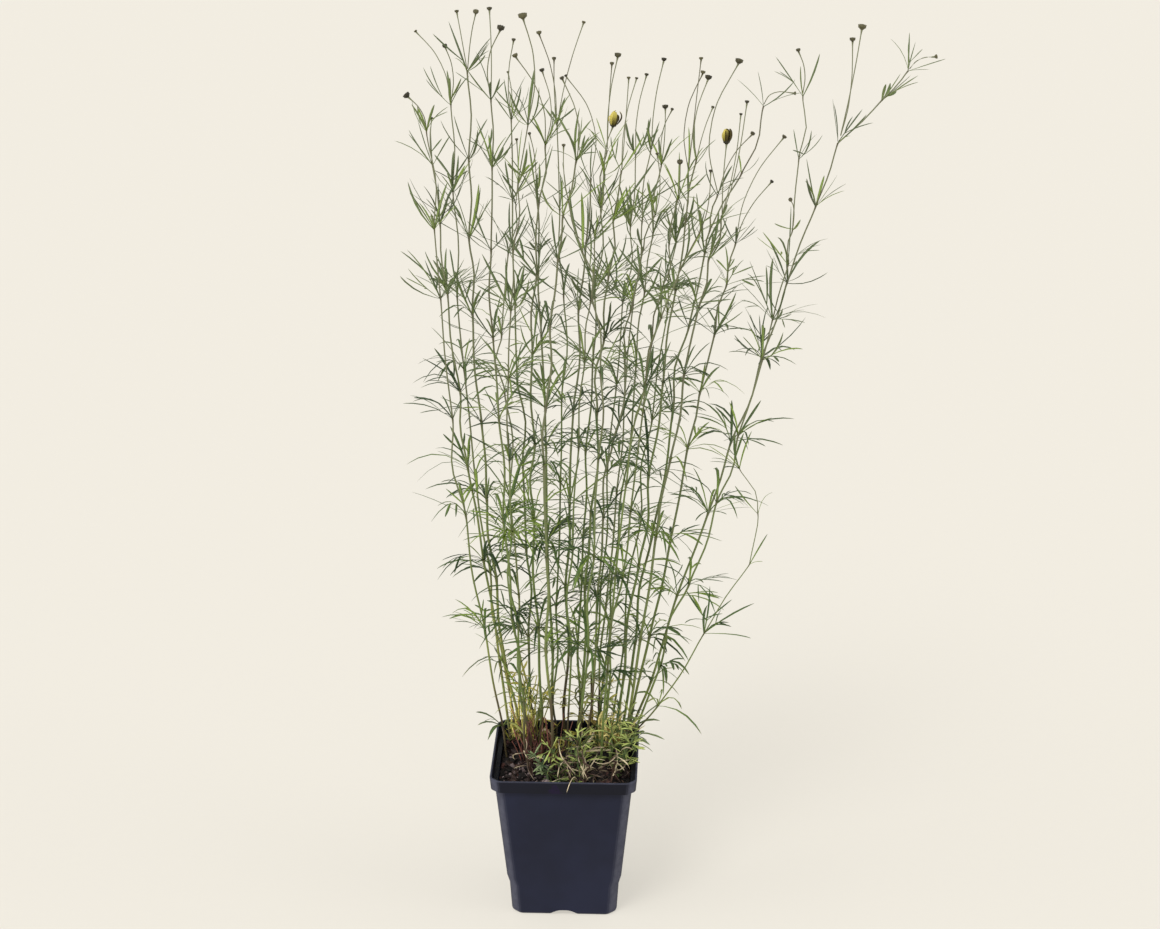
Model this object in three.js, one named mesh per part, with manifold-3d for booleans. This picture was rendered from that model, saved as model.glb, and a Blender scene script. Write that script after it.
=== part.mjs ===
// A potted threadleaf coreopsis: a square nursery pot, its fill of potting soil, tall leafy stems that
// fan out of it and end in button buds, low leafy shoots round their feet, and two opening blooms.
//
// Millimetres, +Z up. The origin is the middle of the pot's underside, where it stands, and the pot's
// sides run along X and Y.
//
// Every stem and shoot is one closed mesh that grows out of a four-sided tube. At each node of the
// plant the tube carries a short band of triangles. A leaf lobe or a flower stalk replaces one of
// those triangles and is raised from its three corners, so it is fused to the stem.

import * as THREE from "three";
import { mergeVertices } from "three/addons/utils/BufferGeometryUtils.js";
import Module from "manifold-3d";

const wasm = await Module();
wasm.setup();

// ---------------------------------------------------------------- driving dimensions

const POT_WIDTH = 90; // across the rim
const POT_HEIGHT = 97;
const POT_FOOT = 65; // across the base
const POT_UNDER_RIM = 83.6; // across the body, just under the rim
const POT_WALL = 1.2;
const POT_FLOOR = 1.5;
const FOOT_ROUND = 1; // how far the underside's edge is taken in, and how high
const RIM_HEIGHT = 8.5;
const RIM_Z = POT_HEIGHT - RIM_HEIGHT; // where the rim starts
const RIM_TUCK = 1.4; // how much narrower the rim is at its lower edge
const RIM_SLOPE = 0.6; // how far the rim's underside rises outward
const SHOULDER_Z = 20; // the stacking shoulder: where it starts, its height, and
const SHOULDER_RISE = 6;
const SHOULDER_LOW = 67.6; // the width across the body below it
const SHOULDER_HIGH = 70.8; // and above it
const CORNER_CUT = 5; // size of the flat that cuts each upright corner
const CORNER_EASE = 1.6; // how far that flat's two edges are eased
const EASE_IN = 0.25; // where an eased edge's middle point lies, in eases: in from the side
const EASE_ALONG = 0.55; // and along it

const VENT_WIDTH = 18; // the arch in the middle of each side's foot
const VENT_HEIGHT = 3;
const VENT_DEPTH = 20;
const VENT_HAUNCH = { across: 0.36, up: 0.75 }; // the arch's bend, in its widths and heights
const VENT_CROWN = 0.2; // half the width of its flat top, in its widths
const DRAIN_RADIUS = 3;
const DRAIN_SIDES = 10;
const DRAIN_SETBACK = 2.5; // from the drain hole to the arch's inner end
const CUT_PAST = 4; // how far a cut runs on past what it opens

const SOIL_Z = 86.5; // mean level of the soil along the wall
const SOIL_MOUND = 2.2; // how much higher it is in the middle
const SOIL_MOUND_REACH = 41; // radius of that mound
const SOIL_LUMP = 1.3; // height of its lumps
const SOIL_CELLS = 8; // lumps counted along one side
const SOIL_GRID = POT_WIDTH + 4; // width of the grid that they lie on
const GAP = 0.3; // between two pieces that touch on the real thing

const ROOT_Z = 70; // the stems' lower ends, in the soil
const SHOOT_ROOT_Z = 78;
const SHOOT_FIRST_NODE = 5.5; // height of a shoot's lowest node over the soil
const STEM_FOOT_RADIUS = 1.1;
const STEM_TOP_RADIUS = 0.68;
const BRANCH_FOOT_RADIUS = 0.7;
const BRANCH_TOP_RADIUS = 0.58;
const SHOOT_RADIUS = 0.75;
const LOWEST_NODE = [0.08, 0.19]; // least and most, as a share of a stem's height
const SPACING_RANGE = [0.9, 1.12]; // least and most, in node spacings
const NODE_BAND = 2.4; // height of the band at a node of the stem
const KINK = 2.2; // how far a node may lie off the stem's sweep, from side to side
const NODE_SPACING = 56;
const NODE_STRAY = 0.3; // how far a node may stray along its stem, as a share of the spacing
const BRANCH_LOBE = 22;
const STALK_RADIUS = 0.46;
const FORK_LEAN = 0.25; // how far the two stalks of a fork lean apart where they start
const SIDE_STALK_LEAN = 0.6; // the same for a stalk that leaves the band below
const STALK_BOW = 0.5; // share of a stalk's length over which it still heads the stem's way
const BUD_BRIM = 1.05; // height of a bud's widest ring and of its crown, in bud radii
const BUD_CROWN = 1.5;
const CROWN_WIDTH = 0.8;
const LOBE_WIDTH = 1.35;
const LOBE_THICK = 0.74;
const LOBE_REACH = 0.56; // share of a lobe's length up to its bend
const LOBE_KEEL = 0.65; // share of its thickness that lies below its line
const LOBE_LENGTHS = [0.74, 1.14]; // least and most, in lengths of its node's habit
const LOBE_ARCHES = [0.2, 1.5]; // the same for how far it arches over
const LOBE_RETRY = 0.8; // length of a lobe that found no room at its full length
const SWING = { first: 14, more: 2.4 }; // degrees that its tries may swing sideways, and each try adds
const TILT = { first: 26, more: 2 }; // the same for up and down
const CLEAR = 0.5; // air kept between two leaf lobes, or a lobe and a stem
const STEM_CLEAR = 1; // air kept between two stems
const POT_CLEAR = 1.3; // air kept between a lobe and the pot or the soil
const FORK = 4; // what lies this close to a band's centre is joined to it
const FREE_SHARE = 0.3; // share of a lobe, from its root, in which it may touch what it grows from
const NEAR = 16; // faces of its own stem this close to a band are tested against its lobes
const TRIES = 60; // directions that a lobe, a stem's middle or a stalk may be tried in

// The leaves at a node, by its share of the stem's height: how many lobes, how long, how steep in
// degrees, and how many degrees they arch over. Lobes with no arch are straight needles.
const LEAF_HABITS = [
  { upTo: 0.16, count: 4, length: 20, rise: 27, arch: 26 },
  { upTo: 0.36, count: 5, length: 30, rise: 31, arch: 32 },
  { upTo: 0.6, count: 5, length: 34, rise: 42, arch: 24 },
  { upTo: 0.8, count: 4, length: 36, rise: 48, arch: 0 },
  { upTo: 0.99, count: 4, length: 31, rise: 57, arch: 0 },
  { upTo: 1, count: 3, length: 24, rise: 62, arch: 0 },
];
const SHOOT_HABITS = {
  green: { count: 4, rise: 26, arch: 24 },
  yellow: { count: 4, rise: 26, arch: 24 },
  dry: { count: 4, rise: 8, arch: 42 },
};

// The triangles of a band that carry lobes, in the order they are used. A band has four sides, each
// split in a right and a left half. Odd bands start a quarter turn on. The number is the lobe's lean
// in degrees from the side's normal, where the side carries two lobes.
const LOBE_PLACES = [
  { side: 0, half: "right", lean: 34 },
  { side: 2, half: "right", lean: 34 },
  { side: 1, half: "right", lean: 0 },
  { side: 3, half: "right", lean: 0 },
  { side: 0, half: "left", lean: -34 },
];
const STEEPEST = 70;
const STEEPEST_PAIRED = 36; // for a lobe that shares its side with another

// Each stem: where it leaves the soil [x, y], its middle, its top node, and its buds [x, y, z, radius].
// Branches start on their stem, at a share of its height.
const STEMS = [
  { foot: [-34, 11], middle: [-66, -3, 309], top: [-78, -23, 497],
    buds: [[-88, -21, 516, 2.1]], lowest: 0.075 },
  { foot: [-33, 24], middle: [-63, 33, 296], top: [-80, 37, 461], buds: [[-81, 47, 486, 0.9]] },
  { foot: [-30, 33], middle: [-61, 58, 287], top: [-71, 67, 490],
    buds: [[-92, 79, 531, 1], [-73, 57, 527, 1.5]] },
  { foot: [-27, 18], middle: [-54, 42, 298], top: [-58, 28, 520],
    buds: [[-64, 33, 553, 1.3], [-52, 18, 556, 1.7]] },
  { foot: [-24, 4], middle: [-39, -20, 315], top: [-39, -52, 523],
    buds: [[-33, -61, 564, 2.2], [-40, -42, 571, 1.5]] },
  { foot: [-19, -7], middle: [-31, -36, 327], top: [-17, -76, 515], buds: [[-19, -81, 575, 2.5]] },
  { foot: [-20, 34], middle: [-31, 74, 281], top: [-36, 84, 477],
    buds: [[-34, 79, 526, 1.3], [-38, 90, 504, 0.9]] },
  { foot: [-13, 13], middle: [-19, -1, 308], top: [-10, -25, 490],
    buds: [[-26, -31, 542, 1.7], [-12, -15, 530, 1.5]] },
  { foot: [-12, 29], middle: [-4, 57, 294], top: [-7, 55, 481],
    buds: [[-17, 49, 537, 1.6], [8, 70, 539, 1.2], [-8, 40, 524, 1.3]] },
  { foot: [-8, -9], middle: [-9, -43, 330], top: [10, -85, 497], buds: [[3, -95, 545, 1.3]] },
  { foot: [-5, 35], middle: [3, 44, 294], top: [14, 31, 455], buds: [[0, 20, 519, 0.9]] },
  { foot: [-1, 11], middle: [10, -12, 319], top: [24, -44, 478], bloom: [29, -49, 507], name: "bloom_left" },
  { foot: [3, 30], middle: [11, 74, 289], top: [22, 81, 459],
    buds: [[28, 86, 515, 2.1], [25, 71, 514, 1.3]] },
  { foot: [7, 20], middle: [18, 11, 311], top: [33, -9, 471],
    buds: [[37, -14, 526, 1.1], [41, 2, 522, 1]] },
  { foot: [12, 34], middle: [26, 80, 286], top: [39, 97, 452], buds: [[45, 102, 500, 1.3]] },
  { foot: [15, 27], middle: [33, 45, 299], top: [49, 47, 469], buds: [[56, 52, 521, 1.6]] },
  { foot: [20, 34], middle: [38, 66, 291], top: [55, 72, 453],
    buds: [[57, 77, 486, 1.9], [61, 62, 489, 1]] },
  { foot: [20, 10], middle: [46, -12, 320], top: [66, -58, 468], buds: [[67, -67, 491, 1.7]] },
  { foot: [26, 29], middle: [51, 84, 288], top: [71, 93, 443],
    buds: [[78, 103, 510, 1.3], [79, 88, 505, 1.5]] },
  { foot: [26, 16], middle: [55, 30, 305], top: [76, 13, 472],
    buds: [[82, 15, 519, 2.1], [85, 28, 499, 1]] },
  { foot: [30, 34], middle: [63, 62, 292], top: [89, 63, 437],
    buds: [[100, 64, 517, 2.4], [109, 79, 470, 1.5]],
    branches: [{ from: 0.9, middle: [104, 78, 446], top: [116, 90, 485], buds: [[134, 95, 492, 1.1]] }] },
  { foot: [32, 8], middle: [66, 8, 313], top: [91, -28, 450], bloom: [93, -24, 491], name: "bloom_right",
    buds: [[104, -36, 518, 1.3], [101, -12, 505, 1]] },
  { foot: [34, 25], middle: [76, 47, 292], top: [100, 39, 414],
    buds: [[127, 45, 477, 1.5], [120, 30, 454, 1.2]] },
  { foot: [33, 29], middle: [97, 24, 297], top: [158, -9, 492],
    buds: [[169, 2, 552, 2.4], [163, -19, 550, 1.7]],
    branches: [{ from: 0.985, middle: [181, 3, 511], top: [197, 13, 526], buds: [[212, 18, 533, 1.3]] }] },
  { foot: [32, 14], middle: [103, -4, 305], top: [131, -50, 450], buds: [[129, -65, 470, 1.2]],
    branches: [{ from: 0.985, middle: [134, -49, 490], top: [135, -45, 525],
      buds: [[132, -45, 550, 1.3]] }] },
  { foot: [24, 22], middle: [71, 9, 149], top: [112, -1, 225], buds: [], lowest: 0.33,
    branches: [{ from: 0.985, middle: [115, -6, 259], top: [104, -12, 290], buds: [] }] },
  { foot: [-16, 23], middle: [-38, 27, 298], top: [-29, 9, 445], buds: [[-28, 3, 485, 1]] },
  { foot: [-7, 20], middle: [-13, 20, 301], top: [-17, 4, 455], buds: [[-20, -6, 491, 1]] },
  { foot: [4, -2], middle: [22, -42, 324], top: [6, -100, 479], buds: [[4, -108, 511, 1.1]] },
  { foot: [12, 7], middle: [29, 9, 305], top: [53, -33, 452], buds: [[54, -41, 489, 1]] },
  { foot: [21, -3], middle: [43, -39, 322], top: [79, -92, 460], buds: [[84, -99, 495, 1.1]] },
];

// Low shoots on the soil: where they stand, their tip as an offset from there, how many nodes they
// have, the length of their lobes, and whether their leaves are green, yellowed or dry.
const SHOOTS = [
  { foot: [27, -3], tip: [5, -6, 34], nodes: 3, lobe: 14, tone: "green" },
  { foot: [13, -13], tip: [-5, -9, 27], nodes: 3, lobe: 14, tone: "green" },
  { foot: [33, -12], tip: [10, -5, 30], nodes: 3, lobe: 13, tone: "green" },
  { foot: [35, 2], tip: [5, -1, 34], nodes: 3, lobe: 13, tone: "green" },
  { foot: [2, -22], tip: [-10, -7, 24], nodes: 3, lobe: 13, tone: "green" },
  { foot: [-8, -26], tip: [-10, -3, 20], nodes: 2, lobe: 13, tone: "green" },
  { foot: [19, 17], tip: [2, -6, 38], nodes: 3, lobe: 14, tone: "green" },
  { foot: [-25, 26], tip: [-5, 2, 48], nodes: 4, lobe: 15, tone: "yellow" },
  { foot: [-20, 20], tip: [4, -3, 38], nodes: 3, lobe: 14, tone: "yellow" },
  { foot: [8, 32], tip: [-3, 2, 34], nodes: 3, lobe: 13, tone: "yellow" },
  { foot: [22, 26], tip: [2, 3, 42], nodes: 3, lobe: 14, tone: "yellow" },
  { foot: [16, -24], tip: [-7, -9, 20], nodes: 2, lobe: 15, tone: "dry" },
  { foot: [29, -22], tip: [3, -6, 20], nodes: 2, lobe: 14, tone: "dry" },
  { foot: [5, -31], tip: [-4, -5, 19], nodes: 2, lobe: 15, tone: "dry" },
  { foot: [-21, -16], tip: [-3, -7, 18], nodes: 2, lobe: 11, tone: "dry" },
];

// The opening blooms. Widths are in bloom radii.
const PETALS = 8;
const PETAL_LENGTH = 5.4;
const PETAL_LENGTHS = [0.84, 1.08]; // least and most, in petal lengths
const PETAL_BELLY = { at: 0.6, width: 1.62, share: 0.36 }; // up the petal, out, and of its sector
const PETAL_BACK = { at: 0.56, width: 1.2 }; // the inner side of that belly
const PETAL_TIP = 1.3;
const BLOOM_RADIUS = 2.1;
const BLOOM_RINGS = [
  { z: 0, width: 0.8 },
  { z: 0.9, width: 1 },
  { z: 1.9, width: 0.86 },
];
const BLOOM_EYE_Z = 2.3;
const CALYX_RADIUS = 2;

const FINISH = {
  pot: { color: 0x2c2f3c, roughness: 0.5, metalness: 0 },
  soil: { color: 0x2b1d18, roughness: 0.95, metalness: 0 },
  stem: { color: 0x5f7a35, roughness: 0.6, metalness: 0 },
  green: { color: 0x6f8a3a, roughness: 0.6, metalness: 0 },
  yellow: { color: 0xb5a83c, roughness: 0.65, metalness: 0 },
  dry: { color: 0xa98f63, roughness: 0.85, metalness: 0 },
  petal: { color: 0xd8c21e, roughness: 0.55, metalness: 0 },
};

// ---------------------------------------------------------------- small helpers

const SOIL_SEED = 50; // where the draws of the soil, the branches and the shoots start
const BRANCH_SEED = 60;
const SHOOT_SEED = 101;

const V = (x, y, z) => new THREE.Vector3(x, y, z);
const UP = V(0, 0, 1);
const rad = THREE.MathUtils.degToRad;
const mix = (a, b, t) => a + (b - a) * t;

// A repeatable draw from 0 to 1 for a stem, a node and a purpose.
function draw(stem, node, purpose) {
  const x = Math.sin(stem * 12.9898 + node * 78.233 + purpose * 37.719) * 43758.5453;
  return x - Math.floor(x);
}

// A point on the sweep from a to c that passes b half way.
function sweep(a, b, c, t) {
  const control = b.clone().multiplyScalar(2).addScaledVector(a, -0.5).addScaledVector(c, -0.5);
  const u = 1 - t;
  return a
    .clone()
    .multiplyScalar(u * u)
    .addScaledVector(control, 2 * u * t)
    .addScaledVector(c, t * t);
}

// The least distance between segments p0 to p1 and q0 to q1.
function segmentDistance(p0, p1, q0, q1) {
  const d1 = p1.clone().sub(p0);
  const d2 = q1.clone().sub(q0);
  const r = p0.clone().sub(q0);
  const a = Math.max(d1.lengthSq(), 1e-9);
  const e = Math.max(d2.lengthSq(), 1e-9);
  const b = d1.dot(d2);
  const c = d1.dot(r);
  const f = d2.dot(r);
  const denominator = a * e - b * b;
  let s = denominator > 1e-9 ? THREE.MathUtils.clamp((b * f - c * e) / denominator, 0, 1) : 0;
  let t = (b * s + f) / e;
  if (t < 0 || t > 1) {
    t = THREE.MathUtils.clamp(t, 0, 1);
    s = THREE.MathUtils.clamp((b * t - c) / a, 0, 1);
  }
  return r.addScaledVector(d1, s).addScaledVector(d2, -t).length();
}

// ---------------------------------------------------------------- solids and meshes

function toManifold(geometry) {
  const bare = new THREE.BufferGeometry().setAttribute("position", geometry.getAttribute("position"));
  if (geometry.index) bare.setIndex(geometry.index);
  const merged = mergeVertices(bare, 1e-3);
  const triVerts = new Uint32Array(merged.index.array);
  return new wasm.Manifold(
    new wasm.Mesh({ numProp: 3, vertProperties: merged.attributes.position.array, triVerts }),
  );
}

function toGeometry(solid) {
  const { vertProperties, triVerts, numProp } = solid.getMesh();
  const count = vertProperties.length / numProp;
  const position = new Float32Array(count * 3);
  for (let i = 0; i < count; i++) position.set(vertProperties.subarray(i * numProp, i * numProp + 3), i * 3);
  return new THREE.BufferGeometry()
    .setAttribute("position", new THREE.BufferAttribute(position, 3))
    .setIndex(new THREE.BufferAttribute(new Uint32Array(triVerts), 1));
}

const RAY = new THREE.Ray();
const HIT = new THREE.Vector3();

// A closed mesh that is put together face by face.
class Skin {
  constructor() {
    this.points = [];
    this.faces = [];
  }

  point(v) {
    return this.points.push(v.clone()) - 1;
  }

  ring(vectors) {
    return vectors.map((v) => this.point(v));
  }

  face(a, b, c) {
    this.faces.push([a, b, c]);
  }

  span(a, b) {
    return this.points[a].distanceTo(this.points[b]);
  }

  // The wall between two rings of as many points, both counter-clockwise seen from the second. Each of
  // its four-sided panels is split along its shorter diagonal.
  wall(lower, upper) {
    lower.forEach((a, i) => {
      const j = (i + 1) % lower.length;
      if (this.span(a, upper[j]) < this.span(lower[j], upper[i])) {
        this.face(a, lower[j], upper[j]);
        this.face(a, upper[j], upper[i]);
      } else {
        this.face(a, lower[j], upper[i]);
        this.face(lower[j], upper[j], upper[i]);
      }
    });
  }

  // Whether an edge of one face passes through the other. Edges that end on the other are let be.
  meet(one, other) {
    const through = (face, wall) =>
      face.some((from, i) => {
        const to = face[(i + 1) % 3];
        if (wall.includes(from) || wall.includes(to)) return false;
        const start = this.points[from];
        const edge = this.points[to].clone().sub(start);
        const reach = edge.length();
        RAY.set(start, edge.divideScalar(reach));
        const [a, b, c] = wall.map((corner) => this.points[corner]);
        const hit = RAY.intersectTriangle(a, b, c, false, HIT);
        return hit !== null && hit.distanceTo(start) < reach;
      });
    return through(one, other) || through(other, one);
  }

  // The wall from a ring to one with twice its points.
  flare(lower, upper) {
    lower.forEach((a, i) => {
      const b = lower[(i + 1) % lower.length];
      const side = upper[2 * i + 1];
      this.face(a, side, upper[2 * i]);
      this.face(a, b, side);
      this.face(b, upper[(2 * i + 2) % upper.length], side);
    });
  }

  fan(ring, centre) {
    ring.forEach((a, i) => this.face(a, ring[(i + 1) % ring.length], centre));
  }

  geometry() {
    return new THREE.BufferGeometry()
      .setAttribute("position", new THREE.Float32BufferAttribute(this.points.flatMap((p) => p.toArray()), 3))
      .setIndex(this.faces.flat());
  }
}

// ---------------------------------------------------------------- the pot and its soil

// A square outline with eased corner flats, counter-clockwise from above.
function potOutline(width, inset, z) {
  const half = width / 2 - inset;
  const cut = CORNER_CUT - inset * (2 - Math.SQRT2);
  const start = half - cut - CORNER_EASE;
  const along = half - cut + CORNER_EASE * EASE_ALONG;
  const near = half - CORNER_EASE * EASE_IN;
  const corner = [
    [half, start],
    [near, along],
    [along, near],
    [start, half],
  ];
  return [0, 1, 2, 3].flatMap((quarter) =>
    corner.map(([x, y]) => V(x, y, z).applyAxisAngle(UP, (quarter * Math.PI) / 2)),
  );
}

function loft(outlines) {
  const skin = new Skin();
  const rings = outlines.map((outline) => skin.ring(outline));
  rings.slice(1).forEach((ring, i) => skin.wall(rings[i], ring));
  skin.fan([...rings[0]].reverse(), skin.point(V(0, 0, outlines[0][0].z)));
  skin.fan(rings.at(-1), skin.point(V(0, 0, outlines.at(-1)[0].z)));
  return toManifold(skin.geometry());
}

// Outer width of the pot's body at a height.
function bodyWidth(z) {
  const above = SHOULDER_Z + SHOULDER_RISE;
  if (z < SHOULDER_Z) return mix(POT_FOOT, SHOULDER_LOW, z / SHOULDER_Z);
  if (z < above) return mix(SHOULDER_LOW, SHOULDER_HIGH, (z - SHOULDER_Z) / SHOULDER_RISE);
  return mix(SHOULDER_HIGH, POT_UNDER_RIM, (z - above) / (RIM_Z - above));
}

// The body's outlines from a lowest to a highest level, taken in by an inset.
function bodyOutlines(lowest, highest, inset) {
  const levels = [lowest, SHOULDER_Z, SHOULDER_Z + SHOULDER_RISE, highest];
  return levels.map((z) => potOutline(bodyWidth(z), inset, z));
}

// A low arched bar that runs in from the middle of one side.
function ventBar(width, height, depth, overshoot) {
  const haunch = { x: width * VENT_HAUNCH.across, y: height * VENT_HAUNCH.up };
  const arch = new THREE.Shape();
  arch.moveTo(-width / 2, -overshoot);
  arch.lineTo(width / 2, -overshoot);
  arch.lineTo(haunch.x, haunch.y);
  arch.lineTo(width * VENT_CROWN, height);
  arch.lineTo(-width * VENT_CROWN, height);
  arch.lineTo(-haunch.x, haunch.y);
  const bar = new THREE.ExtrudeGeometry(arch, { depth, bevelEnabled: false });
  bar.rotateX(Math.PI / 2);
  bar.translate(0, -POT_FOOT / 2 + depth - overshoot, 0);
  return bar;
}

function aroundFourSides(geometry) {
  return [0, 1, 2, 3].map((quarter) => toManifold(geometry.clone().rotateZ((quarter * Math.PI) / 2)));
}

// The hollow inside the pot, with the arches' roofs left standing in it.
function potHollow() {
  const top = RIM_Z + POT_WALL;
  const hollow = loft([
    ...bodyOutlines(POT_FLOOR, top, POT_WALL),
    potOutline(POT_WIDTH - RIM_TUCK, POT_WALL, top + RIM_SLOPE),
    potOutline(POT_WIDTH, POT_WALL, POT_HEIGHT + CUT_PAST),
  ]);
  const roof = ventBar(VENT_WIDTH + 2 * POT_WALL, VENT_HEIGHT + POT_WALL, VENT_DEPTH + POT_WALL, 0);
  return aroundFourSides(roof).reduce((rest, bar) => rest.subtract(bar), hollow);
}

function makePot() {
  const outside = loft([
    potOutline(POT_FOOT - 2 * FOOT_ROUND, 0, 0),
    ...bodyOutlines(FOOT_ROUND, RIM_Z, 0),
    potOutline(POT_WIDTH - RIM_TUCK, 0, RIM_Z + RIM_SLOPE),
    potOutline(POT_WIDTH, 0, POT_HEIGHT),
  ]);
  const vent = ventBar(VENT_WIDTH, VENT_HEIGHT, VENT_DEPTH + CUT_PAST, CUT_PAST);
  const reach = 2 * (VENT_HEIGHT + POT_WALL + CUT_PAST);
  const drain = new THREE.CylinderGeometry(DRAIN_RADIUS, DRAIN_RADIUS, reach, DRAIN_SIDES);
  drain.rotateX(Math.PI / 2);
  drain.translate(0, -POT_FOOT / 2 + VENT_DEPTH - DRAIN_RADIUS - DRAIN_SETBACK, 0);
  const cuts = [...aroundFourSides(vent), ...aroundFourSides(drain)];
  return cuts.reduce((rest, cut) => rest.subtract(cut), outside.subtract(potHollow()));
}

// Height of the soil's surface at a point, lumpy and a little mounded.
function soilHeight(x, y) {
  const cell = SOIL_GRID / SOIL_CELLS;
  const column = Math.round(x / cell);
  const row = Math.round(y / cell);
  const mound = Math.max(0, 1 - (x * x + y * y) / SOIL_MOUND_REACH ** 2);
  const lump = 2 * draw(column + SOIL_SEED, row + SOIL_SEED, 5) - 1;
  return SOIL_Z + SOIL_MOUND * mound + SOIL_LUMP * lump;
}

function makeSoil(holes) {
  const bottom = VENT_HEIGHT + POT_WALL + GAP;
  const block = loft(bodyOutlines(bottom, RIM_Z + POT_WALL - GAP, POT_WALL + GAP));
  const ground = new THREE.BoxGeometry(SOIL_GRID, SOIL_GRID, 1, SOIL_CELLS, SOIL_CELLS, 1);
  const position = ground.getAttribute("position");
  for (let i = 0; i < position.count; i++) {
    const isTop = position.getZ(i) > 0;
    position.setZ(i, isTop ? soilHeight(position.getX(i), position.getY(i)) : 0);
  }
  return holes.reduce((rest, hole) => rest.subtract(hole), block.intersect(toManifold(ground)));
}

// ---------------------------------------------------------------- what is already in the air

const taken = []; // capsules of stems, stalks, buds and lobes: { a, b, radius, owner }

function occupy(a, b, radius, owner, kind) {
  taken.push({ a: a.clone(), b: b.clone(), radius, owner, kind });
}

// Whether a point is too near the pot or the soil.
function meetsPot(p) {
  const reach = Math.max(Math.abs(p.x), Math.abs(p.y));
  if (p.z > POT_HEIGHT + POT_CLEAR) return false;
  if (reach > POT_WIDTH / 2 + POT_CLEAR) return p.z < POT_HEIGHT / 2;
  if (reach > POT_UNDER_RIM / 2 - POT_WALL - POT_CLEAR) return true;
  return p.z < soilHeight(p.x, p.y) + SOIL_LUMP + POT_CLEAR;
}

// Whether a lobe from root over bend to tip is clear of everything but the foot it grows from.
function isClear(root, bend, tip, owner, bandCentre) {
  const radius = LOBE_WIDTH / 2;
  for (const share of [0.25, 0.5, 0.75, 1])
    if (meetsPot(root.clone().lerp(bend, share)) || meetsPot(bend.clone().lerp(tip, share))) return false;
  const away = root.clone().lerp(bend, FREE_SHARE);
  const low = Math.min(root.z, bend.z, tip.z) - FORK;
  const high = Math.max(root.z, bend.z, tip.z) + FORK;
  const meets = (other) => {
    if (Math.min(other.a.z, other.b.z) > high || Math.max(other.a.z, other.b.z) < low) return false;
    const room = radius + other.radius + CLEAR;
    const nearest = Math.min(other.a.distanceTo(bandCentre), other.b.distanceTo(bandCentre));
    const joined = other.owner === owner && nearest < FORK;
    const start = joined ? away : root;
    const from = joined && other.kind === "lobe" ? other.a.clone().lerp(other.b, FREE_SHARE) : other.a;
    const near = (p, q) => segmentDistance(p, q, from, other.b) < room;
    return near(start, bend) || near(bend, tip);
  };
  return !taken.some(meets);
}

// ---------------------------------------------------------------- stems, lobes and buds

function frameOf(tangent, facing) {
  const side = facing.clone().addScaledVector(tangent, -facing.dot(tangent)).normalize();
  return { side, across: tangent.clone().cross(side) };
}

// The way that the first side of a stem's tube faces.
function facingOf(id) {
  const heading = draw(id, 0, 3) * Math.PI;
  return V(Math.cos(heading), Math.sin(heading), 0);
}

function tubeRing(centre, tangent, facing, radius) {
  const { side, across } = frameOf(tangent, facing);
  return [0, 1, 2, 3].map((corner) => {
    const angle = ((corner - 0.5) * Math.PI) / 2;
    return centre
      .clone()
      .addScaledVector(side, radius * Math.cos(angle))
      .addScaledVector(across, radius * Math.sin(angle));
  });
}

// Turns a three-point ring so that its corners face those of the root, and adds it to the skin.
function alignedRing(skin, root, corners, centre) {
  const rootCentre = centroid(skin, root);
  const score = (turn) =>
    root.reduce((sum, index, i) => {
      const arm = skin.points[index].clone().sub(rootCentre).normalize();
      return sum + arm.dot(corners[(i + turn) % 3].clone().sub(centre).normalize());
    }, 0);
  const best = [0, 1, 2].reduce((a, b) => (score(b) > score(a) ? b : a));
  return skin.ring([0, 1, 2].map((i) => corners[(i + best) % 3]));
}

function centroid(skin, face) {
  return face.reduce((sum, i) => sum.add(skin.points[i]), V(0, 0, 0)).multiplyScalar(1 / face.length);
}

// A leaf lobe raised from the triangle root: a straight needle, or one with a bend and a keel below.
function growLobe(skin, root, bend, tip, isStraight) {
  if (isStraight) {
    skin.fan(root, skin.point(tip));
    return;
  }
  const start = centroid(skin, root);
  const along = bend.clone().sub(start).normalize().add(tip.clone().sub(bend).normalize()).normalize();
  const wide = UP.clone().cross(along).normalize();
  const lift = along.clone().cross(wide);
  const edge = LOBE_THICK * (1 - LOBE_KEEL);
  const corners = [
    bend.clone().addScaledVector(wide, LOBE_WIDTH / 2).addScaledVector(lift, edge),
    bend.clone().addScaledVector(wide, -LOBE_WIDTH / 2).addScaledVector(lift, edge),
    bend.clone().addScaledVector(lift, -LOBE_THICK * LOBE_KEEL),
  ];
  const ring = alignedRing(skin, root, corners, bend);
  skin.wall(root, ring);
  skin.fan(ring, skin.point(tip));
}

// A flower stalk along a list of points, raised from the triangle root, with a button bud on its end.
function growStalk(skin, root, path, budRadius) {
  let ring = root;
  path.slice(1).forEach((centre, i) => {
    const tangent = centre.clone().sub(path[i]).normalize();
    const { side, across } = frameOf(tangent, skin.points[ring[0]].clone().sub(centroid(skin, ring)));
    const corners = [0, 1, 2].map((corner) => {
      const angle = (corner * 2 * Math.PI) / 3;
      return centre
        .clone()
        .addScaledVector(side, STALK_RADIUS * Math.cos(angle))
        .addScaledVector(across, STALK_RADIUS * Math.sin(angle));
    });
    const next = skin.ring(corners);
    skin.wall(ring, next);
    ring = next;
  });
  growBud(skin, ring, path.at(-1), path.at(-1).clone().sub(path.at(-2)).normalize(), budRadius);
}

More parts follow.
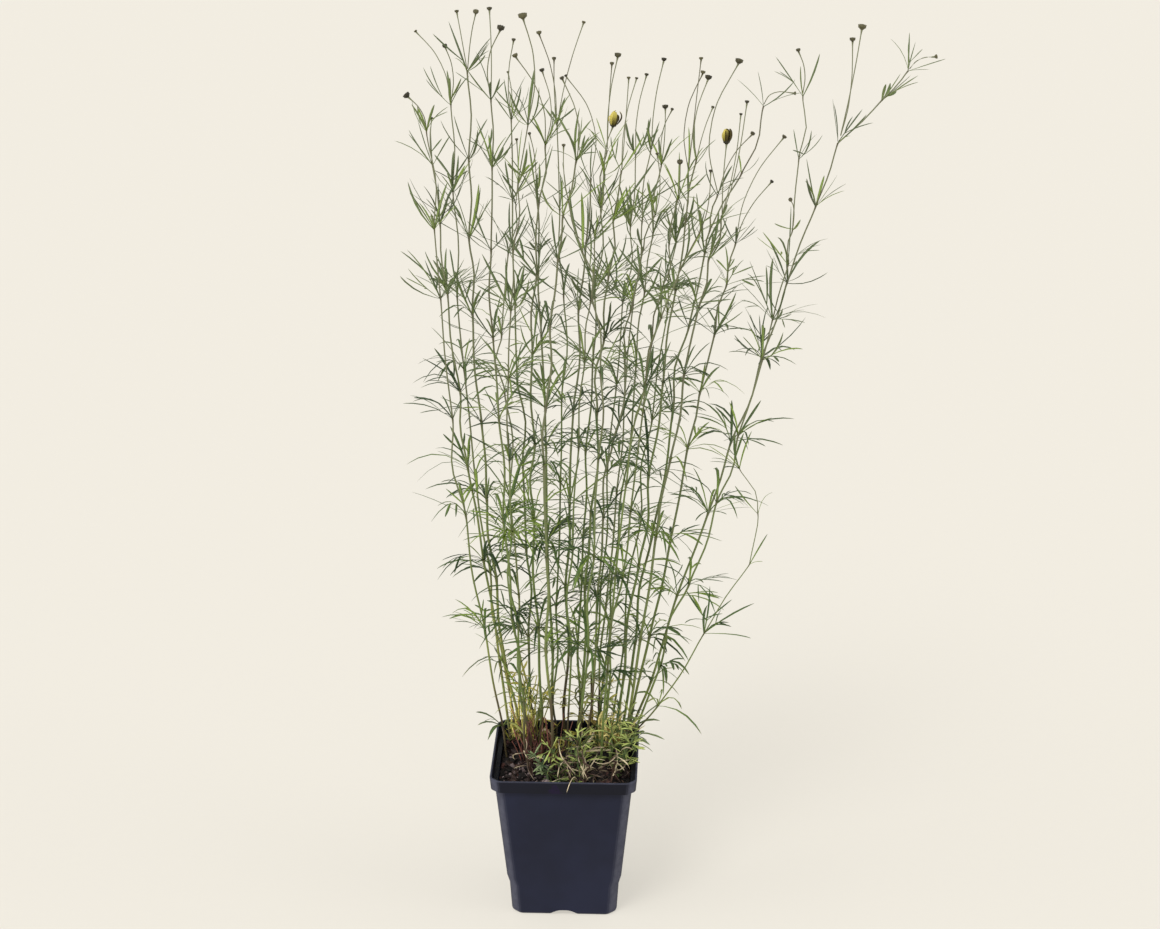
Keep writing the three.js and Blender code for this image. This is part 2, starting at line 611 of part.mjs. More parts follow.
// A button bud: a cup that widens from the stalk's three corners to six, and a low crown.
function growBud(skin, neck, base, axis, radius) {
  const first = skin.points[neck[0]].clone().sub(base);
  const { side, across } = frameOf(axis, first.normalize());
  const hexagon = (height, r) =>
    skin.ring(
      [0, 1, 2, 3, 4, 5].map((corner) => {
        const angle = (corner * Math.PI) / 3;
        return base
          .clone()
          .addScaledVector(axis, height * radius)
          .addScaledVector(side, r * radius * Math.cos(angle))
          .addScaledVector(across, r * radius * Math.sin(angle));
      }),
    );
  const brim = hexagon(BUD_BRIM, 1);
  const crown = hexagon(BUD_CROWN, CROWN_WIDTH);
  skin.flare(neck, brim);
  skin.wall(brim, crown);
  skin.fan(crown, skin.point(base.clone().addScaledVector(axis, radius * BUD_CROWN)));
}

// The nodes of a stem: their centres on its sweep, each a little off it and off its even place.
function stemNodes(id, foot, middle, top, count, lowest) {
  return Array.from({ length: count + 1 }, (_, k) => {
    const stray = k > 0 && k < count ? NODE_STRAY * (draw(id, k, 6) - 0.5) : 0;
    const share = lowest + ((1 - lowest) * (k + stray)) / count;
    const centre = sweep(foot, middle, top, share);
    if (k < count) centre.add(V(KINK * (draw(id, k, 1) - 0.5), KINK * (draw(id, k, 2) - 0.5), 0));
    return { centre, share };
  });
}

function leafHabit(share) {
  return LEAF_HABITS.find((habit) => share <= habit.upTo + 1e-6);
}

// The body of a stem as rings, with a free triangle for each lobe and stalk that it may carry.
function stemBody(id, foot, nodes, radiusAt) {
  const skin = new Skin();
  const facing = facingOf(id);
  const centres = [foot, ...nodes.map((node) => node.centre)];
  const ahead = (i) =>
    centres[Math.min(i + 1, centres.length - 1)].clone().sub(centres[Math.max(i - 1, 0)]).normalize();
  let ring = skin.ring(tubeRing(foot, centres[1].clone().sub(foot).normalize(), facing, radiusAt(0)));
  skin.face(ring[0], ring[2], ring[1]);
  skin.face(ring[0], ring[3], ring[2]);
  const sockets = nodes.map((node, k) => {
    const tangent = ahead(k + 1);
    const radius = radiusAt(node.share);
    const [below, above] = [-NODE_BAND / 2, NODE_BAND / 2].map((rise) =>
      skin.ring(tubeRing(node.centre.clone().addScaledVector(tangent, rise), tangent, facing, radius)),
    );
    skin.wall(ring, below);
    ring = above;
    const { side } = frameOf(tangent, facing);
    return below.map((a, i) => {
      const j = (i + 1) % 4;
      const normal = side.clone().applyAxisAngle(tangent, (i * Math.PI) / 2);
      return { normal, tangent, right: [a, below[j], above[j]], left: [a, above[j], above[i]] };
    });
  });
  return { skin, sockets, end: ring };
}

// The faces of a skin that come near a point.
function nearFaces(skin, centre) {
  return skin.faces.filter((face) => face.some((corner) => skin.points[corner].distanceTo(centre) < NEAR));
}

// The free triangles of a band, but for one.
function openFaces(sockets, except) {
  return sockets.flatMap(({ right, left }) => [right, left]).filter((face) => face !== except);
}

// One try at a lobe's line: its root, its bend and its tip.
function aimLobe(socket, start, habit, lean, seed, attempt) {
  const { id, number } = seed;
  const shortened = attempt < TRIES / 5 ? 1 : LOBE_RETRY;
  const length = habit.length * shortened * mix(...LOBE_LENGTHS, draw(id, number, 11));
  const thrown = ({ first, more }, purpose) =>
    (first + more * attempt) * (draw(id, number, purpose + attempt) - 0.5);
  const azimuth = lean + thrown(SWING, 21);
  const rise = Math.min(habit.rise + thrown(TILT, 91), lean === 0 ? STEEPEST : STEEPEST_PAIRED);
  const arch = habit.arch * mix(...LOBE_ARCHES, draw(id, number, 161));
  const outward = socket.normal.clone().applyAxisAngle(socket.tangent, rad(azimuth));
  const flat = (angle) => outward.clone().multiplyScalar(Math.cos(rad(angle)));
  const heading = (angle) => flat(angle).addScaledVector(socket.tangent, Math.sin(rad(angle)));
  const bend = start.clone().addScaledVector(heading(rise), length * LOBE_REACH);
  const tip = bend.clone().addScaledVector(heading(rise - arch), length * (1 - LOBE_REACH));
  return { bend, tip };
}

// Grows a lobe if it passes clear of its own stem's skin, and takes it off again if it doesn't.
function tryLobe(skin, sockets, root, bend, tip, centre, isStraight) {
  const before = { points: skin.points.length, faces: skin.faces.length };
  const near = [...nearFaces(skin, centre), ...openFaces(sockets, root)];
  growLobe(skin, root, bend, tip, isStraight);
  const grown = skin.faces.slice(before.faces);
  const hits = (face, i) => [...near, ...grown.slice(i + 1)].some((other) => skin.meet(face, other));
  if (!grown.some(hits)) return true;
  skin.points.length = before.points;
  skin.faces.length = before.faces;
  return false;
}

// Puts the lobes of one node on, each in the first direction that is clear, and closes what is left.
function dressNode(skin, id, k, sockets, centre, habit, reserved) {
  const filled = new Set(reserved);
  const places = LOBE_PLACES.slice(0, habit.count);
  places.forEach(({ side, half, lean }, n) => {
    const corner = (side + k) % 4;
    if (filled.has(`${corner}${half}`)) return;
    const socket = sockets[corner];
    const isPaired = places.some((other) => other.side === side && other.half !== half);
    const start = centroid(skin, socket[half]);
    const seed = { id, number: k * 8 + n };
    for (let attempt = 0; attempt < TRIES; attempt++) {
      const { bend, tip } = aimLobe(socket, start, habit, isPaired ? lean : 0, seed, attempt);
      if (!isClear(start, bend, tip, id, centre)) continue;
      if (!tryLobe(skin, sockets, socket[half], bend, tip, centre, habit.arch === 0)) continue;
      occupy(start, bend, LOBE_WIDTH / 2, id, "lobe");
      occupy(bend, tip, LOBE_WIDTH / 2, id, "lobe");
      filled.add(`${corner}${half}`);
      break;
    }
  });
  sockets.forEach((socket, corner) => {
    for (const half of ["right", "left"]) if (!filled.has(`${corner}${half}`)) skin.face(...socket[half]);
  });
}

// Points of a stalk that leaves along the stem's heading and bows over to its bud.
function stalkPath(start, heading, bud) {
  const base = V(bud[0], bud[1], bud[2]);
  const control = start.clone().addScaledVector(heading, start.distanceTo(base) * STALK_BOW);
  return [0, 0.34, 0.68, 1].map((t) =>
    start
      .clone()
      .multiplyScalar((1 - t) * (1 - t))
      .addScaledVector(control, 2 * t * (1 - t))
      .addScaledVector(base, t * t),
  );
}

// Where each stalk of a stem leaves: two from the closed top, which is split so that each half lies on
// the side of its own bud, and a third from the band below it, on the side that faces its bud.
function stalkRoots(body, buds) {
  const { end, skin } = body;
  const last = body.sockets.at(-1);
  const centre = centroid(skin, end);
  const tangent = last[0].tangent;
  const goals = buds.map((bud) => V(bud[0], bud[1], bud[2]).sub(centre).normalize());
  const apart = goals.length > 1 ? goals[0].clone().sub(goals[1]) : last[0].normal;
  const halves = [0, 1, 2, 3].map((turn) => {
    const face = [0, 1, 2].map((i) => end[(i + turn) % 4]);
    const rest = [end[turn], end[(turn + 2) % 4], end[(turn + 3) % 4]];
    return { face, rest, arm: centroid(skin, face).sub(centre) };
  });
  const best = halves.reduce((one, other) => (other.arm.dot(apart) > one.arm.dot(apart) ? other : one));
  const lean = (face) => {
    const outward = centroid(skin, face).sub(centre).normalize();
    return tangent.clone().addScaledVector(outward, FORK_LEAN).normalize();
  };
  const headingOf = (face) => (goals.length > 1 ? lean(face) : tangent);
  const roots = [best.face, best.rest].map((face) => ({ face, heading: headingOf(face) }));
  if (goals.length < 2) skin.face(...best.rest);
  if (goals.length < 1) skin.face(...best.face);
  if (goals.length > 2) {
    const facing = (corner) => last[corner].normal.dot(goals[2]);
    const corner = [0, 1, 2, 3].reduce((a, b) => (facing(b) > facing(a) ? b : a));
    const heading = tangent.clone().addScaledVector(last[corner].normal, SIDE_STALK_LEAN).normalize();
    roots.push({ face: last[corner].right, key: `${corner}right`, heading });
  }
  return roots.slice(0, goals.length);
}

// Whether a run of points keeps its distance from every piece already in the air.
function runIsClear(points, radius) {
  const near = (from, to, other) =>
    segmentDistance(from, to, other.a, other.b) < radius + other.radius + STEM_CLEAR;
  return points.slice(1).every((to, i) => !taken.some((other) => near(points[i], to, other)));
}

// The nodes of an axis whose middle is moved, a little more with each try, until it passes the others.
function clearNodes(id, foot, row, radius, count, lowest) {
  for (let attempt = 0; attempt < TRIES; attempt++) {
    const throwOf = (purpose) => 0.4 * attempt * (draw(id, attempt, purpose) - 0.5);
    const middle = V(...row.middle).add(V(throwOf(31), throwOf(32), 0));
    const nodes = stemNodes(id, foot, middle, V(...row.top), count, lowest);
    const points = [...(row.from ? [] : [foot]), ...nodes.map((node) => node.centre)];
    if (runIsClear(points, radius)) return nodes;
  }
  throw new Error(`axis ${id} crosses another`);
}

// A stalk from a root to its bud, bowed another way with each try until it passes the others.
function clearStalk(id, index, start, heading, bud) {
  for (let attempt = 0; attempt < TRIES; attempt++) {
    const throwOf = (purpose) => 0.02 * attempt * (draw(id * 5 + index, attempt, purpose) - 0.5);
    const bowed = heading.clone().add(V(throwOf(41), throwOf(42), throwOf(43)));
    const path = stalkPath(start, bowed, bud);
    const outside = [path[0].clone().lerp(path[1], 0.4), ...path.slice(1)];
    if (runIsClear(outside, STALK_RADIUS)) return path;
  }
  throw new Error(`stalk ${index} of axis ${id} crosses another`);
}

// Books a run of points, each stretch with its own radius.
function occupyRun(points, radiusOf, owner) {
  points.slice(1).forEach((to, i) => occupy(points[i], to, radiusOf(i), owner, "stem"));
}

// Books a stalk with the bud or the bloom on its end, and gives the seat on top of that bud.
function occupyStalk(path, radius, owner, isBloom) {
  occupyRun(path, () => STALK_RADIUS, owner);
  const end = path.at(-1);
  const axis = end.clone().sub(path.at(-2)).normalize();
  const crown = end.clone().addScaledVector(axis, radius * BUD_CROWN);
  const tip = isBloom ? crown.clone().addScaledVector(axis, PETAL_LENGTH) : crown;
  occupy(end, tip, GAP + (isBloom ? BLOOM_RADIUS * PETAL_BELLY.width : radius), owner, "stem");
  return { base: crown.clone().addScaledVector(axis, GAP), axis };
}

// The stalks of an axis, which leave its top clear of all that stands before them.
function aimStalks(id, body, ends) {
  return stalkRoots(body, ends).map((root, i) => ({
    ...root,
    path: clearStalk(id, i, centroid(body.skin, root.face), root.heading, ends[i]),
  }));
}

// One leafy axis with its stalks. Its stem and stalks are booked first, its lobes are put on later.
function prepareAxis({ id, owner, foot, row, radiusAt, nodeCount, lowest, habitAt }) {
  const nodes = clearNodes(id, foot, row, radiusAt(0.5), nodeCount, lowest);
  const body = stemBody(id, foot, nodes, radiusAt);
  const buds = row.buds ?? [];
  const ends = row.bloom ? [[...row.bloom, CALYX_RADIUS], ...buds] : buds;
  const stalks = aimStalks(id, body, ends);
  occupyRun([foot, ...nodes.map((node) => node.centre)], (i) => radiusAt(nodes[i].share), owner);
  const seats = stalks.map(({ face, path }, i) => {
    const radius = ends[i][3];
    growStalk(body.skin, face, path, radius);
    return occupyStalk(path, radius, owner, Boolean(row.bloom) && i === 0);
  });
  const reserved = stalks.map((stalk) => stalk.key).filter(Boolean);
  const dress = () => {
    nodes.forEach((node, k) => {
      const kept = k === nodes.length - 1 ? reserved : [];
      dressNode(body.skin, owner, k + id * 10, body.sockets[k], node.centre, habitAt(node.share), kept);
    });
    return toManifold(body.skin.geometry());
  };
  return { dress, nodes, foot, seat: seats[0], heading: nodes[0].centre.clone().sub(foot).normalize() };
}

function prepareBranch(row, branch, id, owner) {
  return prepareAxis({
    id,
    owner,
    foot: sweep(V(...row.foot, ROOT_Z), V(...row.middle), V(...row.top), branch.from),
    row: branch,
    radiusAt: (share) => mix(BRANCH_FOOT_RADIUS, BRANCH_TOP_RADIUS, share),
    nodeCount: 1,
    lowest: 0.5,
    habitAt: () => ({ ...LEAF_HABITS.at(-1), count: 2, length: BRANCH_LOBE }),
  });
}

function prepareStem(row, index) {
  const id = index + 1;
  const foot = V(...row.foot, ROOT_Z);
  const radiusAt = (share) => mix(STEM_FOOT_RADIUS, STEM_TOP_RADIUS, share);
  const lowest = row.lowest ?? mix(...LOWEST_NODE, draw(id, 0, 4));
  const spacing = NODE_SPACING * mix(...SPACING_RANGE, draw(id, 0, 7));
  const nodeCount = Math.round((foot.distanceTo(V(...row.top)) * (1 - lowest)) / spacing);
  const main = prepareAxis({ id, owner: id, foot, row, radiusAt, nodeCount, lowest, habitAt: leafHabit });
  const branches = (row.branches ?? []).map((branch, b) =>
    prepareBranch(row, branch, BRANCH_SEED + id + b, BRANCH_SEED + id + b),
  );
  return { ...main, row, dressAll: () => branches.reduce((all, b) => all.add(b.dress()), main.dress()) };
}

function prepareShoot(row, index) {
  const id = SHOOT_SEED + index;
  const foot = V(...row.foot, SHOOT_ROOT_Z);
  const ground = soilHeight(...row.foot);
  const tip = foot.clone().add(V(...row.tip));
  tip.z = ground + row.tip[2];
  const middle = [mix(foot.x, tip.x, 0.3), mix(foot.y, tip.y, 0.3), mix(foot.z, tip.z, 0.55)];
  const axis = prepareAxis({
    id,
    owner: id,
    foot,
    row: { middle, top: tip.toArray() },
    radiusAt: () => SHOOT_RADIUS,
    nodeCount: row.nodes,
    lowest: (ground + SHOOT_FIRST_NODE - foot.z) / (tip.z - foot.z),
    habitAt: () => ({ ...SHOOT_HABITS[row.tone], length: row.lobe }),
  });
  return { ...axis, row, dressAll: axis.dress };
}

// The hole that a stem stands in: its own foot, a gap wider, from below its end to above the soil.
function holeFor({ foot, nodes, heading }, id, radius) {
  const facing = facingOf(id);
  const reach = nodes[0].centre.distanceTo(foot);
  const wide = radius + GAP * Math.SQRT2;
  const skin = new Skin();
  const low = skin.ring(tubeRing(foot.clone().addScaledVector(heading, -GAP), heading, facing, wide));
  const high = skin.ring(tubeRing(foot.clone().addScaledVector(heading, reach), heading, facing, wide));
  skin.wall(low, high);
  skin.face(low[0], low[2], low[1]);
  skin.face(low[0], low[3], low[2]);
  skin.face(high[0], high[1], high[2]);
  skin.face(high[0], high[2], high[3]);
  return toManifold(skin.geometry());
}

// ---------------------------------------------------------------- the opening blooms

// Ray petals that stand in a cup on a short round base, each raised from one facet of its top band.
function makeBloom(seat) {
  const skin = new Skin();
  const { side, across } = frameOf(seat.axis, V(0, 1, 0));
  const at = (height, width, angle) =>
    seat.base
      .clone()
      .addScaledVector(seat.axis, height)
      .addScaledVector(side, BLOOM_RADIUS * width * Math.cos(angle))
      .addScaledVector(across, BLOOM_RADIUS * width * Math.sin(angle));
  const step = (2 * Math.PI) / PETALS;
  const ringAt = ({ z, width }, twist) =>
    skin.ring(Array.from({ length: PETALS }, (_, i) => at(z, width, (i + twist) * step)));
  const [low, mid, high] = [0, 0, 0.5].map((twist, i) => ringAt(BLOOM_RINGS[i], twist));
  skin.fan([...low].reverse(), skin.point(at(0, 0, 0)));
  skin.wall(low, mid);
  mid.forEach((a, i) => {
    const b = mid[(i + 1) % PETALS];
    const peak = high[i];
    const angle = (i + 0.5) * step;
    const length = PETAL_LENGTH * mix(...PETAL_LENGTHS, draw(i, 3, 9));
    const spread = step * PETAL_BELLY.share;
    const ring = skin.ring([
      at(length * PETAL_BELLY.at, PETAL_BELLY.width, angle - spread),
      at(length * PETAL_BELLY.at, PETAL_BELLY.width, angle + spread),
      at(length * PETAL_BACK.at, PETAL_BACK.width, angle),
    ]);
    skin.wall([a, b, peak], ring);
    skin.fan(ring, skin.point(at(length, PETAL_TIP, angle)));
    skin.face(b, high[(i + 1) % PETALS], peak);
  });
  skin.fan(high, skin.point(at(BLOOM_EYE_Z, 0, 0)));
  return toManifold(skin.geometry());
}

// ---------------------------------------------------------------- assembly

const part = new THREE.Group();

function place(name, solid, finish) {
  const mesh = new THREE.Mesh(toGeometry(solid), new THREE.MeshStandardMaterial(FINISH[finish]));
  mesh.name = name;
  part.add(mesh);
}

const numbered = (name, index) => `${name}_${String(index + 1).padStart(2, "0")}`;
const stems = STEMS.map(prepareStem);
const shoots = SHOOTS.map(prepareShoot);

place("pot", makePot(), "pot");
const stemHoles = stems.map((stem, i) => holeFor(stem, i + 1, STEM_FOOT_RADIUS));
const shootHoles = shoots.map((shoot, i) => holeFor(shoot, SHOOT_SEED + i, SHOOT_RADIUS));
place("soil", makeSoil([...stemHoles, ...shootHoles]), "soil");
stems.forEach((stem, i) => place(numbered("stem", i), stem.dressAll(), "stem"));
shoots.forEach((shoot, i) => place(numbered("shoot", i), shoot.dressAll(), shoot.row.tone));
const flowering = stems.filter((stem) => stem.row.bloom);
flowering.forEach((stem) => place(stem.row.name, makeBloom(stem.seat), "petal"));

export default part;
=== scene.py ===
# %% [markdown]
# # A potted threadleaf coreopsis
# The plant stands in a square nursery pot. Some thirty wiry stems fan out of the soil, each with
# whorls of thread-like leaves, and end in thin stalks with button buds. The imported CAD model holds
# where every stem, leaf lobe and bud is. This script keeps those places and gives each of them its
# real form and finish.
#
# The first cell loads that fixed frame and measures its box. Everything is in metres, +Z up.

# %% Load the frame
import math
import random
from collections import namedtuple

import bmesh
import bpy
import numpy as np
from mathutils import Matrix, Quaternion, Vector
from mathutils.bvhtree import BVHTree
from mathutils.noise import fractal, noise


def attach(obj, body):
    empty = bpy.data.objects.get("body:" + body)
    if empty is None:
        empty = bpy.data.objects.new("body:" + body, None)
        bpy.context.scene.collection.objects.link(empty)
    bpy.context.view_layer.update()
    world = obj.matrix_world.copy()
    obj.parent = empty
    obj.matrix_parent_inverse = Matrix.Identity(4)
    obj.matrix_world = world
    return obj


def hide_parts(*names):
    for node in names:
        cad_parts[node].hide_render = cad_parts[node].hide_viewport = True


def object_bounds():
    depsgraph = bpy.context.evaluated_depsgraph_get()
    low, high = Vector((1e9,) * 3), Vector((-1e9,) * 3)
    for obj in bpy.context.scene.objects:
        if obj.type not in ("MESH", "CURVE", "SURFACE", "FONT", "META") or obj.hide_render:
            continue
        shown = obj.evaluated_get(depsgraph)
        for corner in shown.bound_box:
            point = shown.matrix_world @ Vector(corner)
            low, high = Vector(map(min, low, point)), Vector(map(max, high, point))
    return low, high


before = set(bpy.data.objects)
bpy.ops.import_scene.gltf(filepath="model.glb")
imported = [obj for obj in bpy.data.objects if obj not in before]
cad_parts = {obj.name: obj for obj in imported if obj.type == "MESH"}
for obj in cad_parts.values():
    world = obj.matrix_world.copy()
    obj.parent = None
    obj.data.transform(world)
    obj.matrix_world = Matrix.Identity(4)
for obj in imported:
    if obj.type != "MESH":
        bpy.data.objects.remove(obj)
CAD_LOW, CAD_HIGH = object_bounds()
MM = 0.001
UP = Vector((0, 0, 1))
print("frame nodes:", len(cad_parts), "box:", CAD_LOW[:], CAD_HIGH[:])

# %% [markdown]
# ## Camera, floor and light
# The camera stands about 1.8 m in front of the pot and nearly a metre up, and looks down at 20
# degrees. It could stand close with a wide lens, but the pot's walls would then run together
# towards the foot much more. A long lens from afar keeps them nearly upright. The Standard view
# keeps colours as they are mixed.

# %% Camera
CAMERA_PLACE = (0.0772, -1.7793, 0.9523)
CAMERA_PITCH = 69.502
CAMERA_TURN = 2.2027
CAMERA_LENS = 98.47
CAMERA_SENSOR = 36

camera_data = bpy.data.cameras.new("camera")
camera_data.lens = CAMERA_LENS
camera_data.sensor_width = CAMERA_SENSOR
camera = bpy.data.objects.new("camera", camera_data)
bpy.context.scene.collection.objects.link(camera)
camera.location = CAMERA_PLACE
camera.rotation_euler = (math.radians(CAMERA_PITCH), 0, math.radians(CAMERA_TURN))
bpy.context.scene.camera = camera
bpy.context.scene.view_settings.view_transform = "Standard"
print("camera lens:", camera_data.lens)

# %% [markdown]
# The studio is plain: a cream floor that fills the view and an even pale sky. Broad suns stand in
# for soft boxes. Unlike a lamp, a sun is as strong at the edge of the floor as in its middle, so
# the background stays even. Two low ones graze the sides of the pot, which brightens its corner
# flats and leaves its front dark, and a higher one in front lights the leaves.

# %% Floor and light
FLOOR_SIZE = 14.0
SKY_STRENGTH = 0.62
SKY_COLOUR = (1, 0.995, 0.985, 1)

# Each sun: its bearing from the camera's side, its height and its width in degrees, its strength.
SUNS = {
    "left_sun": (-75, 22, 40, 0.9),
    "right_sun": (78, 22, 40, 0.7),
    "front_sun": (-28, 52, 24, 1.5),
}

bpy.ops.object.select_all(action="DESELECT")
bpy.ops.mesh.primitive_plane_add(size=FLOOR_SIZE)
floor = bpy.context.object
floor.name = "floor"

sky = bpy.data.worlds.new("sky")
bpy.context.scene.world = sky
sky.use_nodes = True
sky.node_tree.nodes["Background"].inputs["Color"].default_value = SKY_COLOUR
sky.node_tree.nodes["Background"].inputs["Strength"].default_value = SKY_STRENGTH


def add_sun(name, bearing, height, width, strength):
    light = bpy.data.lights.new(name, "SUN")
    light.angle = math.radians(width)
    light.energy = strength
    sun = bpy.data.objects.new(name, light)
    bpy.context.scene.collection.objects.link(sun)
    turn, rise = math.radians(bearing), math.radians(height)
    away = Vector((math.sin(turn) * math.cos(rise), -math.cos(turn) * math.cos(rise), math.sin(rise)))
    sun.rotation_euler = (-away).to_track_quat("-Z", "Y").to_euler()


for name, settings in SUNS.items():
    add_sun(name, *settings)
print("suns:", len(SUNS))

# %% [markdown]
# ## Helpers for modelling
# The pieces are modelled as by hand: a primitive is added, shaped in edit mode and finished with
# modifiers. An operator acts on all that is selected, so `only` selects one piece alone, and
# `pick` selects its faces, edges or vertices by a test on their middle and their normal.

# %% Selection helpers
def only(piece):
    if bpy.context.object and bpy.context.object.mode == "EDIT":
        bpy.ops.object.mode_set(mode="OBJECT")
    bpy.ops.object.select_all(action="DESELECT")
    piece.select_set(True)
    bpy.context.view_layer.objects.active = piece


def started(name):
    """Names the primitive that was just added, and opens it in edit mode."""
    piece = bpy.context.object
    piece.name = piece.data.name = name
    only(piece)
    bpy.ops.object.transform_apply(location=True, rotation=True, scale=True)
    bpy.ops.object.mode_set(mode="EDIT")
    return piece


def middle(part):
    points = [part.co] if isinstance(part, bmesh.types.BMVert) else [v.co for v in part.verts]
    return sum(points, Vector()) / len(points)


def pick(piece, kind, test):
    """In edit mode, selects the VERT, EDGE or FACE parts that pass the test, and counts them."""
    bpy.ops.mesh.select_mode(type=kind)
    bpy.ops.mesh.select_all(action="DESELECT")
    mesh = bmesh.from_edit_mesh(piece.data)
    parts = {"VERT": mesh.verts, "EDGE": mesh.edges, "FACE": mesh.faces}[kind]
    chosen = [part for part in parts if test(part)]
    for part in chosen:
        part.select_set(True)
    mesh.select_flush_mode()
    bmesh.update_edit_mesh(piece.data)
    return len(chosen)


print("selection helpers ready")

# %% [markdown]
# A modifier could stay live, but the next step in edit mode has to find the faces that it makes. So
# each one is applied at once. `closed` ends every piece in the same way: one material, the body
# that it rides on, and the CAD nodes that it stands for.

# %% Finishing helpers
def apply_modifier(piece, kind, **settings):
    modifier = piece.modifiers.new(kind.lower(), kind)
    for name, value in settings.items():
        setattr(modifier, name, value)
    only(piece)
    bpy.ops.object.modifier_apply(modifier=modifier.name)


def cut_away(piece, tool):
    """Cuts a tool out of a piece, and removes the tool."""
    apply_modifier(piece, "BOOLEAN", operation="DIFFERENCE", object=tool, solver="EXACT")
    bpy.data.objects.remove(tool)


def closed(piece, material, slot, *nodes):
    """Finishes a piece: its material, its body and the CAD nodes that it stands for. The slot is not used.
    """
    piece.data.materials.clear()
    piece.data.materials.append(material)
    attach(piece, "root")
    if nodes:
        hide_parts(*nodes)


def triangles_of(piece):
    piece.data.calc_loop_triangles()
    return len(piece.data.loop_triangles)


print("finishing helpers ready")

# %% [markdown]
# ## Shader maths as plain sums
# A material is a network of nodes. Written out node by node, a sum of two noises takes a dozen
# lines. The class below wraps a socket, so that `a * 0.5 + b` adds the Math nodes by itself. Every
# other kind of node comes from one method.

# %% A socket that takes part in sums
class Signal:
    """A value on its way through a material."""

    def __init__(self, tree, socket=None):
        self.tree = tree
        self.socket = socket

    def node(self, kind, settings=None, sockets=None, output=0):
        """Adds a node: its settings first, then a value or a link for each of its sockets."""
        made = self.tree.nodes.new(kind)
        for name, value in (settings or {}).items():
            setattr(made, name, value)
        for key, value in (sockets or {}).items():
            if isinstance(value, Signal):
                self.tree.links.new(value.socket, made.inputs[key])
            else:
                made.inputs[key].default_value = value
        return Signal(self.tree, made.outputs[output] if made.outputs else None)

    def maths(self, operation, first, second=0.0):
        return self.node("ShaderNodeMath", {"operation": operation}, {0: first, 1: second})

    def __add__(self, other):
        return self.maths("ADD", self, other)

    def __sub__(self, other):
        return self.maths("SUBTRACT", self, other)

    def __rsub__(self, other):
        return self.maths("SUBTRACT", other, self)

    def __mul__(self, other):
        return self.maths("MULTIPLY", self, other)

    def __truediv__(self, other):
        return self.maths("DIVIDE", self, other)

    __radd__ = __add__
    __rmul__ = __mul__

    def between(self, low, high):
        """0 below low, 1 above high, and a smooth rise between them."""
        settings = {"interpolation_type": "SMOOTHSTEP"}
        return self.node("ShaderNodeMapRange", settings, {"Value": self, "From Min": low, "From Max": high})


print("sums of sockets ready")

# %% [markdown]
# The nodes that the finishes use most get a name of their own. They read the piece's own
# coordinates or a number kept in its mesh, so a pattern stays in place on the piece. `finish` puts
# what a function of the node tree returns into the sockets of a Principled shader.

# %% Shader helpers
def place_of(start):
    return start.node("ShaderNodeTexCoord", output=3)


def axis_of(vector, axis):
    return vector.node("ShaderNodeSeparateXYZ", {}, {0: vector}, output="XYZ".index(axis))


def speckle(vector, size, detail=3.0, rough=0.55):
    """Noise from 0 to 1 whose blots are about that size, in metres."""
    sockets = {"Vector": vector, "Scale": 0.6 / size, "Detail": detail, "Roughness": rough}
    return vector.node("ShaderNodeTexNoise", {}, sockets)


def mixed(share, low, high):
    """The colour low where the share is 0, and high where it is 1."""
    settings = {"data_type": "RGBA", "clamp_factor": True}
    return share.node("ShaderNodeMix", settings, {0: share, 6: low, 7: high}, output=2)


def attribute(start, name):
    return start.node("ShaderNodeAttribute", {"attribute_name": name}, output=2)


def bumped(height, distance, strength=1.0):
    sockets = {"Height": height, "Distance": distance, "Strength": strength}
    return height.node("ShaderNodeBump", {}, sockets)


def finish(name, sockets_of, **constants):
    """A material whose Principled sockets come from a function of its node tree."""
    material = bpy.data.materials.new(name)
    material.use_nodes = True
    material.node_tree.nodes.clear()
    start = Signal(material.node_tree)
    sockets = {key.replace("_", " "): value for key, value in constants.items()}
    sockets.update(sockets_of(start))
    shader = start.node("ShaderNodeBsdfPrincipled", {}, sockets)
    start.node("ShaderNodeOutputMaterial", {}, {"Surface": shader})
    return material


print("shader helpers ready")

# %% [markdown]
# ## The floor's finish
# A matt cream. The floor could simply be lit, but then the plant's shadow would lie dark on it. So
# two thirds of it glows by itself, like a lit backdrop, and one third takes the light. Only a faint
# shadow shows where the pot stands.

# %% Floor finish
CREAM = (0.832, 0.793, 0.71)
GLOW_SHARE = 0.66
FLOOR_GRAIN = 4 * MM
PALER_GRAIN = 1.01


def tinted(colour, strength):
    return tuple(c * strength for c in colour) + (1,)


def floor_sockets(start):
    grain = speckle(place_of(start), FLOOR_GRAIN)
    matt = tinted(CREAM, 1 - GLOW_SHARE)
    paler = tinted(CREAM, PALER_GRAIN - GLOW_SHARE)
    return {"Base Color": mixed(grain, matt, paler), "Emission Color": tinted(CREAM, GLOW_SHARE)}


floor_look = {"Roughness": 1.0, "Specular_IOR_Level": 0.0, "Emission_Strength": 1.0}
floor.data.materials.append(finish("cream_floor", floor_sockets, **floor_look))
print("floor finish made")

# %% [markdown]
# ## The pot
# A nursery pot is one thin moulded shell: four tapering walls with a flat along each upright
# corner, a small stacking shoulder, and a collar that stands proud at the rim. A low arch in the
# middle of each foot lets water out.
#
# Four walls could be made apart and joined, but their seams would have to meet exactly. Instead one
# square is pulled up through the heights where the width changes, and its corners are bevelled last,
# so the flats keep one width from foot to rim. Solidify then makes the shell from the skin.

